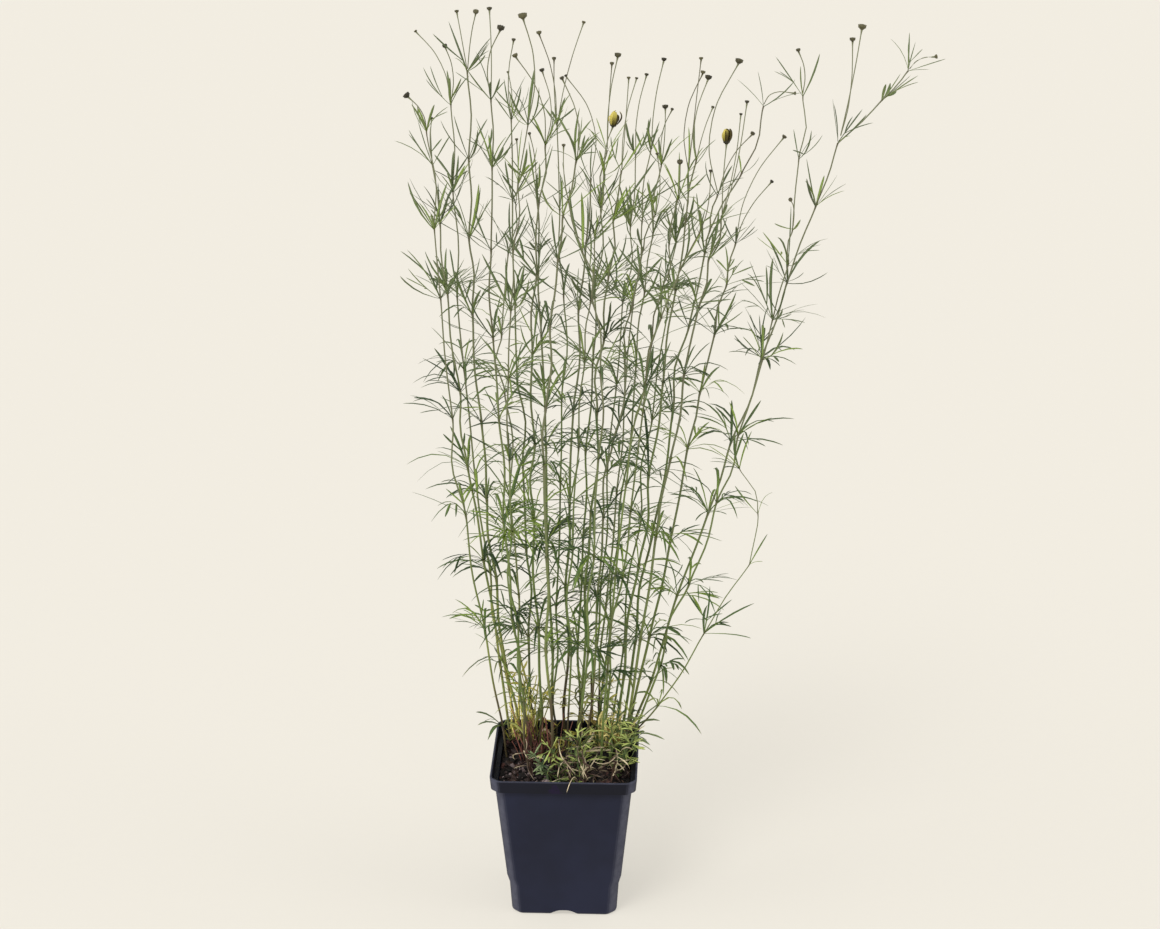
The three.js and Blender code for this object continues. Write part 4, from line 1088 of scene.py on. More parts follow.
def add_stalk(curve, stalk):
    """The stalk of a bud. Under a larger bud it is a little thicker."""
    line = smooth_line(arched(stalk.path))
    neck_from = len(line) - 1 - NECK_POINTS
    flare = [1.0 + NECK_FLARE * max(0, (i - neck_from) / NECK_POINTS) ** 2 for i in range(len(line))]
    radius = STALK_RADIUS * (0.8 + 0.1 * stalk.radius / MM)
    add_line(curve, line, [min(radius * f, stalk.radius * 0.5) for f in flare])


print("stem curve helpers ready")

# %% [markdown]
# The stem's finish follows its height. The lowest part is purple brown, but olive yellow at the back
# left of the pot and greener at the right. Then comes a mid green that fades to a pale grey olive
# towards the top. No two stems are the same: some are yellower or stay purple far up, and the
# knuckles are darker. One material could be made for each stem, but a single one that reads the
# place and two numbers of the mesh, the stem's tone and how close a node is, covers them all.

# %% Stem finish
STEM_PURPLE = (0.075, 0.045, 0.034, 1)
STEM_YELLOW = (0.38, 0.37, 0.09, 1)
STEM_GREEN = (0.155, 0.21, 0.058, 1)
STEM_OLIVE = (0.18, 0.19, 0.105, 1)


def stem_sockets(start):
    place = place_of(start)
    height = axis_of(place, "Z")
    tone = attribute(start, "tone")
    node = attribute(start, "node")
    streaks = speckle(place, 6 * MM, 4)
    across = axis_of(place, "X")
    leftness = (1 - across.between(-22 * MM, -6 * MM)) * axis_of(place, "Y").between(0, 16 * MM)
    rightness = across.between(4 * MM, 28 * MM)
    low = 1 - (height - leftness * 0.03).between(0.12, 0.17)
    yellow = (streaks * 0.8 + tone * 0.7 + leftness * 0.2 - 0.5).between(0.2, 0.7)
    colour = mixed(yellow * (low * 0.7 + 0.2) * (1 - rightness * 0.55), STEM_GREEN, STEM_YELLOW)
    colour = mixed((height + tone * 0.14).between(0.24, 0.46), colour, STEM_OLIVE)
    brown_top = tone * 0.05 + streaks * 0.04 - leftness * 0.03 - rightness * 0.035 + 0.08
    brown = 1 - ((height - brown_top) / (20 * MM)).between(0, 1)
    colour = mixed(brown * 0.85, colour, STEM_PURPLE)
    flushed = (speckle(place, 40 * MM, 2) - tone * 0.15).between(0.5, 0.62)
    colour = mixed(flushed * 0.4, colour, STEM_PURPLE)
    colour = mixed(node * 0.5, colour, STEM_PURPLE)
    return {"Base Color": colour}


stem_finish = finish("stem_skin", stem_sockets, Roughness=0.5, Specular_IOR_Level=0.35)
print("stem finish made")

# %% [markdown]
# Each stem is one curve that holds its axis, its side branch and its stalks. It is turned into a
# mesh at the end, because a mesh can carry the two numbers for the finish at each of its points.

# %% Stem pieces
NODE_REACH = 2.5 * MM


def round_curve(name):
    curve = bpy.data.curves.new(name, "CURVE")
    curve.dimensions = "3D"
    curve.bevel_depth = MM
    curve.bevel_resolution = 2
    curve.use_fill_caps = True
    return curve


def meshed(name, curve):
    piece = bpy.data.objects.new(name, curve)
    bpy.context.scene.collection.objects.link(piece)
    only(piece)
    bpy.ops.object.convert(target="MESH")
    bpy.ops.object.shade_smooth()
    return piece


def nearness(points, nodes, reach):
    """1 at a node and 0 away from all of them, for each point."""
    away = np.linalg.norm(points[:, None, :] - np.array([n[:] for n in nodes])[None], axis=2).min(axis=1)
    return np.exp(-((away / reach) ** 2))


def nodes_of(plant):
    """The nodes of a plant above its foot, with those of its side branch."""
    return plant.nodes[1:] + plant.branch[1:]


def make_stem(name, plant, girth, tone):
    curve = round_curve(name)
    add_axis(curve, plant.nodes, STEM_FOOT_RADIUS * girth, STEM_TOP_RADIUS * girth)
    if plant.branch:
        add_axis(curve, plant.branch, BRANCH_RADIUS * BRANCH_FOOT * girth, BRANCH_RADIUS * girth)
    for stalk in plant.stalks:
        add_stalk(curve, stalk)
    piece = meshed(name, curve)
    points = np.array([v.co for v in piece.data.vertices])
    put_numbers(piece.data, "node", nearness(points, nodes_of(plant), NODE_REACH))
    put_numbers(piece.data, "tone", np.full(len(points), tone))
    return piece


draw = random.Random(21)
stem_triangles = 0
for name in STEM_NAMES:
    girth = draw.uniform(*STEM_GIRTHS) if name != LOW_BRANCH else LOW_BRANCH_GIRTH
    stalk = make_stem(name + "_stalk", plants[name], girth, draw.random())
    closed(stalk, stem_finish, "stem", name)
    stem_triangles += triangles_of(stalk)
print("stem triangles:", stem_triangles)

# %% [markdown]
# ## The leaf lobe
# Each lobe of a threadleaf is a strip up to 2 mm wide and mostly 25 to 40 mm long, with a shallow
# channel above and a keel below. A flat plane would look like paper. The channel and the keel catch
# the light along the whole blade, so it is a closed solid with few triangles. It is modelled once,
# straight, along Y: a four-sided prism is cut across, its rings are scaled to the strip's outline,
# and its upper edge is pressed down.

# %% Leaf lobe, modelled once
# Each cut of the blade: its share of the length, and its width there.
BLADE_CUTS = [(0.0, 0.55), (0.12, 0.6), (0.36, 0.88), (0.6, 1.0), (0.82, 0.8), (0.94, 0.46), (1.0, 0.08)]
CHANNEL = 0.06
KEEL = 0.28


def blade_form(name, cuts, keel):
    bpy.ops.object.select_all(action="DESELECT")
    place = {"rotation": (-math.pi / 2, 0, 0), "location": (0, 0.5, 0)}
    bpy.ops.mesh.primitive_cylinder_add(vertices=4, radius=0.5, depth=1, end_fill_type="NGON", **place)
    blade = started(name)
    for share, _ in cuts[1:-1]:
        bpy.ops.mesh.select_all(action="SELECT")
        bpy.ops.mesh.bisect(plane_co=(0, share, 0), plane_no=(0, 1, 0))
    for share, width in cuts:
        pick(blade, "VERT", lambda v: abs(v.co.y - share) < 1e-4)
        bpy.ops.transform.resize(value=(width, 1, width * keel * 2), center_override=(0, share, 0))
    pick(blade, "VERT", lambda v: v.co.z > 1e-4)
    bpy.ops.transform.resize(value=(1, 1, CHANNEL), center_override=(0, 0.5, 0))
    bpy.ops.mesh.select_all(action="SELECT")
    bpy.ops.mesh.normals_make_consistent(inside=False)
    only(blade)
    return form_of(blade)


lobe_form = blade_form("leaf_lobe", BLADE_CUTS, KEEL)
print("leaf lobe triangles:", len(lobe_form[1]))

# %% [markdown]
# ## Leaves
# Every lobe of the CAD model becomes a leaf along the same line from root to tip. A leaf of several
# bones would be the way to animate it. Here it only has to stand still, so one curve with a single
# control point does. Where the CAD lobe has a bend, the curve passes through it. A straight one
# gets a bow of its own, up or down.

# %% Leaf lines
BEND_SHARE = 0.56
NEEDLE_BOW = 0.11


def through(root, bend, tip):
    """The control point of the curve that passes the bend on its way from root to tip."""
    t = BEND_SHARE
    return (bend - root * (1 - t) ** 2 - tip * t**2) / (2 * t * (1 - t))


def any_way(draw):
    return Vector((draw.gauss(0, 1), draw.gauss(0, 1), draw.gauss(0, 1))).normalized()


def face_of(tip, axis_point):
    """The side that a blade turns up: to the sky if it lies, and to the stem if it stands."""
    out = tip - axis_point
    out.z = 0
    return (UP - out.normalized() * 0.6).normalized()


def blade_along(draw, lobe, axis_point, width, tone):
    span = (lobe.tip - lobe.root).length
    if lobe.bend:
        control = through(lobe.root, lobe.bend, lobe.tip)
    else:
        bow = sag_of(lobe.root, lobe.tip) * draw.gauss(0.02, NEEDLE_BOW) + any_way(draw) * 0.07
        control = (lobe.root + lobe.tip) / 2 + bow * span
    face = face_of(lobe.tip, axis_point)
    root = lobe.root + (axis_point - lobe.root) * 0.7
    return Blade(root, control, lobe.tip, width, face, draw.uniform(-0.7, 0.7), tone)


print("leaf line helpers ready")

# %% [markdown]
# A real leaf forks: its middle lobe carries pairs of side lobes that leave it close together, like
# the toes of a bird's foot. A leaf could be modelled whole and repeated, but then all would fork
# alike. Instead a side lobe is one more blade that leaves another at a share of its length, so that
# each leaf forks in its own way.

# %% Leaf forks
LOBE_MISSING = 0.3


def on_blade(blade, share):
    u = 1 - share
    return blade.root * u * u + blade.control * 2 * u * share + blade.tip * share * share


def heading(blade, share):
    way = (blade.control - blade.root) * (1 - share) + (blade.tip - blade.control) * share
    return way.normalized()


def side_blade(draw, blade, side, start, length, spread):
    """A lobe that leaves a blade at a share of its length, on one side, and bends back along it."""
    root = on_blade(blade, start)
    way = heading(blade, start)
    sideways = way.cross(blade.face).normalized() * side
    lift = sideways.cross(way) * draw.uniform(-0.25, 0.25)
    control = root + (way + sideways * spread + lift).normalized() * length * 0.5
    sink = UP * draw.uniform(-0.2, 0.55)
    ahead = heading(blade, 0.85) + sideways * spread * draw.uniform(0.35, 1.0) + lift - sink
    tip = control + ahead.normalized() * length * 0.5
    width = blade.width * draw.uniform(0.75, 0.95)
    return Blade(root, control, tip, width, blade.face, draw.uniform(-0.5, 0.5), blade.tone)


def forked(draw, blade, pairs):
    """A blade with pairs of side lobes. Now and then a lobe is missing."""
    length = (blade.tip - blade.root).length
    blades = [blade]
    start = draw.uniform(0.16, 0.36)
    for _ in range(pairs):
        for side in (-1, 1):
            if draw.random() < LOBE_MISSING:
                continue
            leaves_at = start + draw.uniform(0, 0.06)
            reach = length * draw.uniform(0.6, 1.1) * (1 - leaves_at)
            blades.append(side_blade(draw, blade, side, leaves_at, reach, draw.uniform(0.5, 1.1)))
        start += draw.uniform(0.16, 0.28)
    return blades


print("leaf fork helpers ready")

# %% [markdown]
# Two more helpers change a leaf before it is grown. One lets its tip sink, as the weight of a long
# leaf does. The other carries a lobe of the CAD model round its node. A second leaf could be drawn
# from nothing, but one that is carried round keeps the right length and slope.

# %% Leaves: drooped and turned
def drooped(blade, amount):
    """The same blade with its tip sunk by a share of its length."""
    fall = UP * amount * (blade.tip - blade.root).length
    return blade._replace(tip=blade.tip - fall, control=blade.control + fall * 0.3)


def turned(lobe, node, angle, size):
    """A lobe carried round its node by an angle, and drawn in or out by a size."""
    turn = Quaternion(UP, angle)
    moved = [node + turn @ (point - node) for point in lobe if point is not None]
    root = moved[0]
    rest = [root + (point - root) * size for point in moved[1:]]
    return Lobe(root, rest[0] if lobe.bend else None, rest[-1])


print("droop and turn helpers ready")

# %% [markdown]
# Some whorls stand out. A few places are lush, some nodes hold a tuft of broad, bright young leaves,
# and a few long broad leaves reach out of the rest. Chance alone wouldn't put them where they are,
# so they have places of their own, given as the eye sees them from the front. Each is carried over
# to the node that lies nearest to its place.

# %% Leaves: the whorls that stand out
VIEW_DROP = 0.37

# Seen from the front, in mm: the lush places (across, up, reach) and young tufts (across, up, leaves).
LUSH_PLACES = [(-50, 281, 30), (-70, 345, 18), (11, 316, 22), (70, 318, 24), (-12, 240, 30), (20, 448, 18)]
YOUNG_TUFTS = [
    (-75, 458, 5), (-79, 493, 3), (-37, 471, 4), (-27, 453, 3), (5, 482, 4), (-2, 500, 3),
    (17, 456, 4), (24, 445, 3), (61, 450, 3), (30, 420, 2), (58, 482, 3),
]

# Long broad leaves that stand out of the rest, in mm: root, the point that their curve leans to, tip.
BROAD_LEAVES = [
    ((25, -30, 452), (48, -33, 466), (73, -36, 483)),
    ((25, -30, 452), (40, -38, 464), (57, -42, 481)),
    ((25, -30, 452), (36, -26, 468), (50, -22, 487)),
    ((58, 10, 156), (68, 5, 168), (76, 0, 155)),
    ((62, 10, 163), (70, 5, 171), (76, 0, 164)),
    ((60, 10, 154), (64, 5, 159), (64, 0, 147)),
    ((60, 10, 167), (70, 5, 181), (81, 0, 175)),
    ((-46, 20, 102), (-54, 16, 114), (-62, 12, 115)),
    ((-46, 20, 102), (-55, 16, 110), (-61, 12, 106)),
    ((-46, 20, 102), (-51, 16, 107), (-54, 12, 99)),
]


def seen_from(node, x, z):
    """How far a node lies from a place, in mm, for an eye that looks a little down on the plant."""
    return math.hypot(node.x / MM - x, (node.z + VIEW_DROP * node.y) / MM - z)


def nearest_node(x, z):
    """The stem and the number of its node nearest to a place seen from the front, in mm."""
    every = [(name, k, node) for name in STEM_NAMES for k, node in enumerate(nodes_of(plants[name]))]
    return min(every, key=lambda entry: seen_from(entry[2], x, z))[:2]


def is_lush(node):
    return any(seen_from(node, x, z) < reach for x, z, reach in LUSH_PLACES)


young_tufts = {nearest_node(x, z): count for x, z, count in YOUNG_TUFTS}
print("lush places:", len(LUSH_PLACES), "young tufts:", len(young_tufts))

# %% [markdown]
# How a leaf grows depends on its height. Leaves fork most in the lower third, and up to the middle
# they droop. A second leaf stands beside the first at some heights more often than at others. Small
# leaves stand in the axils, fewer of them towards the top. Such rules could be written out as
# conditions, but short tables by share of the plant's height are easier to read and to change.

# %% Leaves: habits by height
GROUND = MEAN_SOIL_Z
TOP = CAD_HIGH.z
Habit = namedtuple("Habit", "length spread width tones")
AXIL = Habit(26 * MM, (0.3, 1.3), 1 * MM, (0.3, 0.95))
YOUNG = Habit(20 * MM, (0.12, 0.8), 1.4 * MM, (0.8, 1.0))

# The chance of company for a leaf, up to each share of the plant's height.
COMPANY = [(0.12, 0), (0.34, 0.34), (0.5, 0.14), (0.68, 0.36), (0.82, 0.1), (1.1, 0.4)]

# The pairs of side lobes that a leaf is drawn from, in the same way.
FORKS = [(0.12, (0, 0, 1)), (0.34, (0, 1, 1, 2)), (0.72, (0, 1, 1)), (1.1, (0, 0, 1))]


def height_share(point):
    return (point.z - GROUND) / (TOP - GROUND)


def at_height(table, share):
    """The entry of a table that holds at a share of the plant's height."""
    return next(entry for up_to, entry in table if share < up_to)


def tuft(draw, node, ahead, count, habit):
    """Leaves that stand between the others and the stem."""
    turn = draw.uniform(0, math.tau)
    blades = []
    for k in range(count):
        angle = turn + k * math.tau / count + draw.uniform(-0.5, 0.5)
        out = Vector((math.cos(angle), math.sin(angle), 0))
        length = habit.length * draw.uniform(0.5, 1.25)
        way = (ahead + out * draw.uniform(*habit.spread)).normalized()
        control = node + way * length * 0.55
        tip = control + (way + out * 0.4 - UP * draw.uniform(0, 0.5)).normalized() * length * 0.5
        face = (UP - out * 0.6).normalized()
        width = habit.width * draw.uniform(0.8, 1.1)
        tone = draw.uniform(*habit.tones)
        blades.append(Blade(node, control, tip, width, face, draw.uniform(-0.5, 0.5), tone))
    return blades


print("leaf habits:", len(COMPANY), "bands of company,", len(FORKS), "of forks")

# %% [markdown]
# The leaves of a node are made from its lobes, each with its own width and length. The tone that a
# leaf carries drives its green. It could be drawn for each leaf alone, but the leaves of one whorl
# are of one age, so it is drawn around the tone of its node: some whorls are fresh, others dark.

# %% Leaves of one node
LEAF_WIDTH = 1.34 * MM
SHORTER_BAND = (0.48, 0.86)
SHORTER_BY = 0.13
DROOP_BELOW = 0.62
MOST_LEAVES = 4
WEAK = 0.55


def dress_lobe(draw, lobe, node, tone, vigour):
    share = height_share(lobe.root)
    width = LEAF_WIDTH * draw.uniform(0.5, 1.42)
    size = draw.uniform(0.95, 1.28) - SHORTER_BY * (SHORTER_BAND[0] < share < SHORTER_BAND[1])
    blade = blade_along(draw, turned(lobe, node, 0, size), node, width, tone)
    if share < DROOP_BELOW:
        blade = drooped(blade, draw.uniform(-0.08, 0.5))
    return forked(draw, blade, draw.choice(at_height(FORKS, share)) if vigour > WEAK else 0)


def leaves_at(draw, node, lobes, vigour):
    """All the divided leaves of one node."""
    tone_here = draw.gauss(0.48, 0.2)
    company = at_height(COMPANY, height_share(node)) * vigour
    blades = []
    for lobe in lobes:
        leaves = [lobe]
        while draw.random() < company and len(leaves) < MOST_LEAVES:
            angle = draw.choice((-1, 1)) * draw.uniform(0.4, 1.3)
            leaves.append(turned(lobe, node, angle, draw.uniform(0.7, 1.1)))
        for leaf in leaves:
            tone = min(1, max(0, draw.gauss(tone_here, 0.14)))
            blades += dress_lobe(draw, leaf, node, tone, vigour)
    return blades


print("leaf width in mm:", LEAF_WIDTH / MM)

# %% [markdown]
# A stem is dressed node by node. Nodes differ in vigour, so that one whorl is lush and the next one
# thin, and a few nodes get a tuft of young leaves. The long broad leaves come last. They hang on
# the nodes nearest to their places.

# %% Leaves of one stem
YOUNG_CHANCE = 0.06
YOUNG_ABOVE = 0.4
YOUNG_LEAVES = 3
LUSH_GAIN = 0.7
BROAD_WIDTH = 2.2 * MM
BROAD_TONE = 0.4


def dress(draw, name):
    plant = plants[name]
    nodes = nodes_of(plant)
    nearest = [min(range(len(nodes)), key=lambda i: (nodes[i] - lobe.root).length) for lobe in plant.lobes]
    blades = []
    for k, node in enumerate(nodes):
        vigour = max(0.1, draw.gauss(1.0, 0.45)) + LUSH_GAIN * is_lush(node)
        lobes = [lobe for lobe, owner in zip(plant.lobes, nearest) if owner == k]
        blades += leaves_at(draw, node, lobes, vigour)
        ahead = (node - (nodes[k - 1] if k else plant.nodes[0])).normalized()
        share = height_share(node)
        small = round(draw.uniform(0, 2.8) * vigour * (1 - 0.75 * share))
        blades += tuft(draw, node, ahead, small, AXIL)
        sprouts = draw.random() < YOUNG_CHANCE and share > YOUNG_ABOVE
        young = young_tufts.get((name, k), YOUNG_LEAVES * sprouts)
        blades += tuft(draw, node, ahead, young, YOUNG)
    return blades


def broad_leaf(draw, points):
    """One of the long broad leaves, carried over to the node that is nearest to its root."""
    name, k = nearest_node(points[0][0], points[0][2] + VIEW_DROP * points[0][1])
    node = nodes_of(plants[name])[k]
    root, control, tip = (node + (Vector(point) - Vector(points[0])) * MM for point in points)
    return name, Blade(root, control, tip, BROAD_WIDTH, UP, draw.uniform(-0.4, 0.4), BROAD_TONE)


print("broad leaves:", len(BROAD_LEAVES))

# %% [markdown]
# The green of a leaf is mixed step by step: dark to mid green by its tone, blue green in large
# blots, a light yellow green for fresh leaves, most of all at their root. Towards the top the leaves
# turn olive, and close to the soil some have faded to yellow. The tips are dry. A picture of a leaf
# could carry all this, but mixed from noise and height it stays sharp from any distance.

# %% Leaf finish
LEAF_DEEP = (0.027, 0.055, 0.014, 1)
LEAF_GREEN = (0.088, 0.15, 0.034, 1)
LEAF_LIGHT = (0.23, 0.33, 0.05, 1)
LEAF_BLUE = (0.05, 0.105, 0.05, 1)
LEAF_OLIVE = (0.14, 0.165, 0.075, 1)
LEAF_YELLOW = (0.34, 0.34, 0.09, 1)


def leaf_sockets(start):
    place = place_of(start)
    height = axis_of(place, "Z")
    tone = attribute(start, "tone")
    along = attribute(start, "along")
    blots = speckle(place, 6 * MM, 3)
    colour = mixed((tone + blots * 0.5 - 0.25).between(0.1, 0.65), LEAF_DEEP, LEAF_GREEN)
    colour = mixed(speckle(place, 45 * MM, 2).between(0.54, 0.66) * 0.35, colour, LEAF_BLUE)
    colour = mixed((tone - along * 0.3 + blots * 0.2).between(0.45, 0.85), colour, LEAF_LIGHT)
    aged = (height + tone * 0.12).between(0.28, 0.5) * (0.55 - tone.between(0.8, 0.95) * 0.5)
    colour = mixed(aged, colour, LEAF_OLIVE)
    faded = speckle(place, 22 * MM, 2).between(0.42, 0.6) * (1 - height.between(0.12, 0.18))
    colour = mixed(faded * 0.85, colour, LEAF_YELLOW)
    tips = (along + blots * 0.3).between(0.98, 1.15)
    return {"Base Color": mixed(tips * 0.5, colour, STEM_OLIVE)}


leaf_finish = finish("leaf_green", leaf_sockets, Roughness=0.48, Specular_IOR_Level=0.3)
print("leaf finish made")

# %% [markdown]
# The leaves of one stem are one piece. It stands for the same CAD node as the stem itself.

# %% Leaf pieces
draw = random.Random(5)
dressed = {name: dress(draw, name) for name in STEM_NAMES}
for points in BROAD_LEAVES:
    name, blade = broad_leaf(draw, points)
    dressed[name] += forked(draw, blade, draw.choice((0, 1)))
leaf_triangles = 0
for name, blades in dressed.items():
    leaves = grown(name + "_leaves", lobe_form, blades)
    closed(leaves, leaf_finish, "green_leaf", name)
    leaf_triangles += triangles_of(leaves)
print("leaf triangles:", leaf_triangles)

# %% [markdown]
# ## Buds
# A bud is a cup of eight close bracts with a low dome of unopened florets, and eight narrow outer
# bracts at its foot. From afar a ball would do, but its bracts give a bud its notched outline, so
# they are modelled. The cup starts as a sphere whose lower half is drawn in to the neck. A bract is
# a small plate that is narrowed to a point and leaned against the cup. All is sized for a bud of
# radius 1.

# %% Bud parts
BUD_BRIM = 0.98
BRACT_POINT = 0.25
BRACT_HOLLOW = 0.16


def bud_cup():
    bpy.ops.object.select_all(action="DESELECT")
    bpy.ops.mesh.primitive_uv_sphere_add(segments=12, ring_count=8, radius=1)
    cup = started("bud_cup")
    pick(cup, "VERT", lambda v: v.co.z > 0.01)
    bpy.ops.transform.resize(value=(0.95, 0.95, 0.42), center_override=(0, 0, 0))
    pick(cup, "VERT", lambda v: v.co.z < -0.3)
    bpy.ops.transform.resize(value=(0.86, 0.86, 1), center_override=(0, 0, 0))
    bpy.ops.mesh.select_all(action="SELECT")
    bpy.ops.transform.translate(value=(0, 0, BUD_BRIM))
    only(cup)
    return cup


def bract(name, width, length, foot, height, lean):
    """A pointed plate that stands at a distance from the axis and at a height, and leans out."""
    bpy.ops.object.select_all(action="DESELECT")
    bpy.ops.mesh.primitive_grid_add(x_subdivisions=2, y_subdivisions=3, size=1)
    plate = started(name)
    bpy.ops.mesh.select_all(action="SELECT")
    bpy.ops.transform.resize(value=(width, length, 1), center_override=(0, 0, 0))
    bpy.ops.transform.translate(value=(0, length / 2, 0))
    pick(plate, "VERT", lambda v: v.co.y > length * 0.9)
    bpy.ops.transform.resize(value=(BRACT_POINT, 1, 1), center_override=(0, length, 0))
    pick(plate, "VERT", lambda v: abs(v.co.x) < 0.01)
    bpy.ops.transform.translate(value=(0, 0, -width * BRACT_HOLLOW))
    bpy.ops.mesh.select_all(action="SELECT")
    turn = {"orient_axis": "X", "center_override": (0, 0, 0)}
    bpy.ops.transform.rotate(value=-(math.pi / 2 - lean), **turn)
    bpy.ops.transform.translate(value=(0, foot, height))
    only(plate)
    return plate


print("bud part helpers ready")

# %% [markdown]
# One bract is thickened and spun round the axis into eight. Placing eight by hand would give the
# same ring with more work, and less evenly. Cup and bracts are joined into one form, so that each
# bud of the plant is a copy of it.

# %% Bud, modelled once
BRACTS = 8


def spun(plate, copies, thickness):
    apply_modifier(plate, "SOLIDIFY", thickness=thickness, offset=0)
    bpy.ops.object.mode_set(mode="EDIT")
    bpy.ops.mesh.select_all(action="SELECT")
    turn = math.tau * (copies - 1) / copies
    bpy.ops.mesh.spin(steps=copies - 1, dupli=True, angle=turn, center=(0, 0, 0), axis=(0, 0, 1))
    only(plate)
    return plate


def joined(name, *pieces):
    only(pieces[0])
    for piece in pieces:
        piece.select_set(True)
    bpy.ops.object.join()
    pieces[0].name = name
    return pieces[0]


inner_bracts = spun(bract("inner_bract", 0.66, 0.82, 0.78, 0.46, 0.12), BRACTS, 0.06)
outer_bracts = spun(bract("outer_bract", 0.18, 0.48, 0.42, 0.12, 0.45), BRACTS, 0.05)
bud_form = form_of(joined("bud", bud_cup(), inner_bracts, outer_bracts))
print("bud triangles:", len(bud_form[1]))

# %% [markdown]
# Each bud of the frame gets a copy, turned along its stalk and sized as the CAD bud is. The finish
# is matt: nearly black to olive brown, in small blots, and some buds are paler than others.

# %% Bud piece
BUD_DARK = (0.032, 0.028, 0.016, 1)
BUD_OLIVE = (0.11, 0.1, 0.048, 1)


def bud_sockets(start):
    place = place_of(start)
    tone = attribute(start, "tone")
    blots = speckle(place, 0.8 * MM, 3)
    colour = mixed((blots + tone * 0.5 - 0.2).between(0.3, 0.8), BUD_DARK, BUD_OLIVE)
    return {"Base Color": colour}


def bud_spots(draw):
    spots = []
    for name in STEM_NAMES:
        for stalk in plants[name].stalks:
            side = any_way(draw)
            spots.append(Spot(stalk.path[-1], side, stalk.axis, stalk.radius, draw.random()))
    return spots


bud_finish = finish("bud_olive", bud_sockets, Roughness=0.6, Specular_IOR_Level=0.3)
buds = scattered("button_buds", bud_form, bud_spots(random.Random(9)))
closed(buds, bud_finish, "stem")
print("bud piece triangles:", triangles_of(buds))

# %% [markdown]
# ## The opening blooms
# Two buds are opening. Short ray petals stand up out of the cup, bulge and fold over a dark disc.
# A petal could be a flat strip, but half closed petals are seen nearly edge on. So it has relief: a
# small grid gets a notched end, two grooves and raised borders, and is then thickened.

# %% Petal, modelled once
# Bands of a petal's length, and how wide it is in each.
PETAL_BANDS = [
    (-0.01, 0.05, 0.5), (0.05, 0.15, 0.7), (0.15, 0.25, 0.85), (0.85, 0.95, 0.8), (0.95, 1.01, 0.5),
]
PETAL_NOTCH = 0.07
GROOVE_DEPTH = 0.05
BORDER_RISE = 0.14
PETAL_THICKNESS = 0.06


def petal_form():
    bpy.ops.object.select_all(action="DESELECT")
    bpy.ops.mesh.primitive_grid_add(x_subdivisions=6, y_subdivisions=10, size=1, location=(0, 0.5, 0))
    petal = started("petal")
    for low, high, width in PETAL_BANDS:
        pick(petal, "VERT", lambda v: low < v.co.y < high)
        bpy.ops.transform.resize(value=(width, 1, 1), center_override=(0, 0.5, 0))
    pick(petal, "VERT", lambda v: v.co.y > 0.95 and abs(abs(v.co.x) - 0.1) < 0.06)
    bpy.ops.transform.translate(value=(0, -PETAL_NOTCH, 0))
    pick(petal, "VERT", lambda v: abs(abs(v.co.x) - 0.17) < 0.06 and 0.1 < v.co.y < 0.9)
    bpy.ops.transform.translate(value=(0, 0, -GROOVE_DEPTH))
    pick(petal, "VERT", lambda v: abs(v.co.x) > 0.4)
    bpy.ops.transform.translate(value=(0, 0, BORDER_RISE))
    apply_modifier(petal, "SOLIDIFY", thickness=PETAL_THICKNESS, offset=0)
    return form_of(petal)


petal = petal_form()
print("petal triangles:", len(petal[1]))

# %% [markdown]
# The petals stand in two rows on the cup. The outer row opens wider than the inner one, and no two
# petals stand alike. A petal bends along a curve that leaves the cup, bulges and turns in at the
# tip, so `grown` places it as it does the leaf lobes. A bloom sits in the widest bud of its stem.

# %% Petal rows
Seat = namedtuple("Seat", "base axis")
PETAL_REACH = 7.8 * MM
CUP_RADIUS = 1.9 * MM
SEAT_HEIGHT = 0.85

# Each row, the outer one first: its petals, its share of the cup, how wide it opens, its reach.
PETAL_ROWS = [(8, 1, 0.62, 1), (5, 0.65, 0.3, 0.9)]


def seat_of(stem):
    """A bloom stands in its stem's widest bud."""
    calyx = max(plants[stem].stalks, key=lambda stalk: stalk.radius)
    return Seat(calyx.path[-1] + calyx.axis * calyx.radius * SEAT_HEIGHT, calyx.axis)


def spoke(seat, angle):
    across = seat.axis.orthogonal().normalized()
    return across * math.cos(angle) + seat.axis.cross(across) * math.sin(angle)


def petal_row(draw, seat, petals, radius, open_to, reach):
    """A ring of petals that leave the cup at a radius, bulge, and fold in over the disc."""
    blades = []
    for k in range(petals):
        out = spoke(seat, (k + draw.uniform(-0.2, 0.2)) * math.tau / petals)
        length = reach * draw.uniform(0.7, 1.05)
        root = seat.base + out * radius
        control = root + (seat.axis + out * open_to * draw.uniform(0.6, 1.3)).normalized() * length * 0.8
        tip = seat.base + seat.axis * length + out * radius * draw.uniform(0.1, 1.15)
        width = CUP_RADIUS * draw.uniform(0.8, 1.15)
        # Painted light and shade: petals at the left and back get a higher tone, which the finish paints
        # yellow, as lit, and those at the right and front a lower one, painted dark brown, as in shade.
        tone = 0.5 - 0.38 * out.x + 0.22 * out.y + draw.uniform(-0.2, 0.2)
        blades.append(Blade(root, control, tip, width, -out, draw.uniform(-0.5, 0.5), tone))
    return blades


BLOOM_STEMS = {"bloom_left": "stem_12", "bloom_right": "stem_22"}
seats = {node: seat_of(stem) for node, stem in BLOOM_STEMS.items()}
print("bloom places in mm:", [tuple(round(v / MM) for v in seat.base) for seat in seats.values()])

# %% [markdown]
# The petals are yellow, more olive where they leave the cup and browned at their folds. A petal's
# tone comes mostly from the side of the bloom that it stands on, and that tone is painted light and
# shade: the side at the left and back is painted yellow, as lit, and the side at the right and front
# dark brown, as in shade. Drawn by chance, lit and shaded petals would alternate.

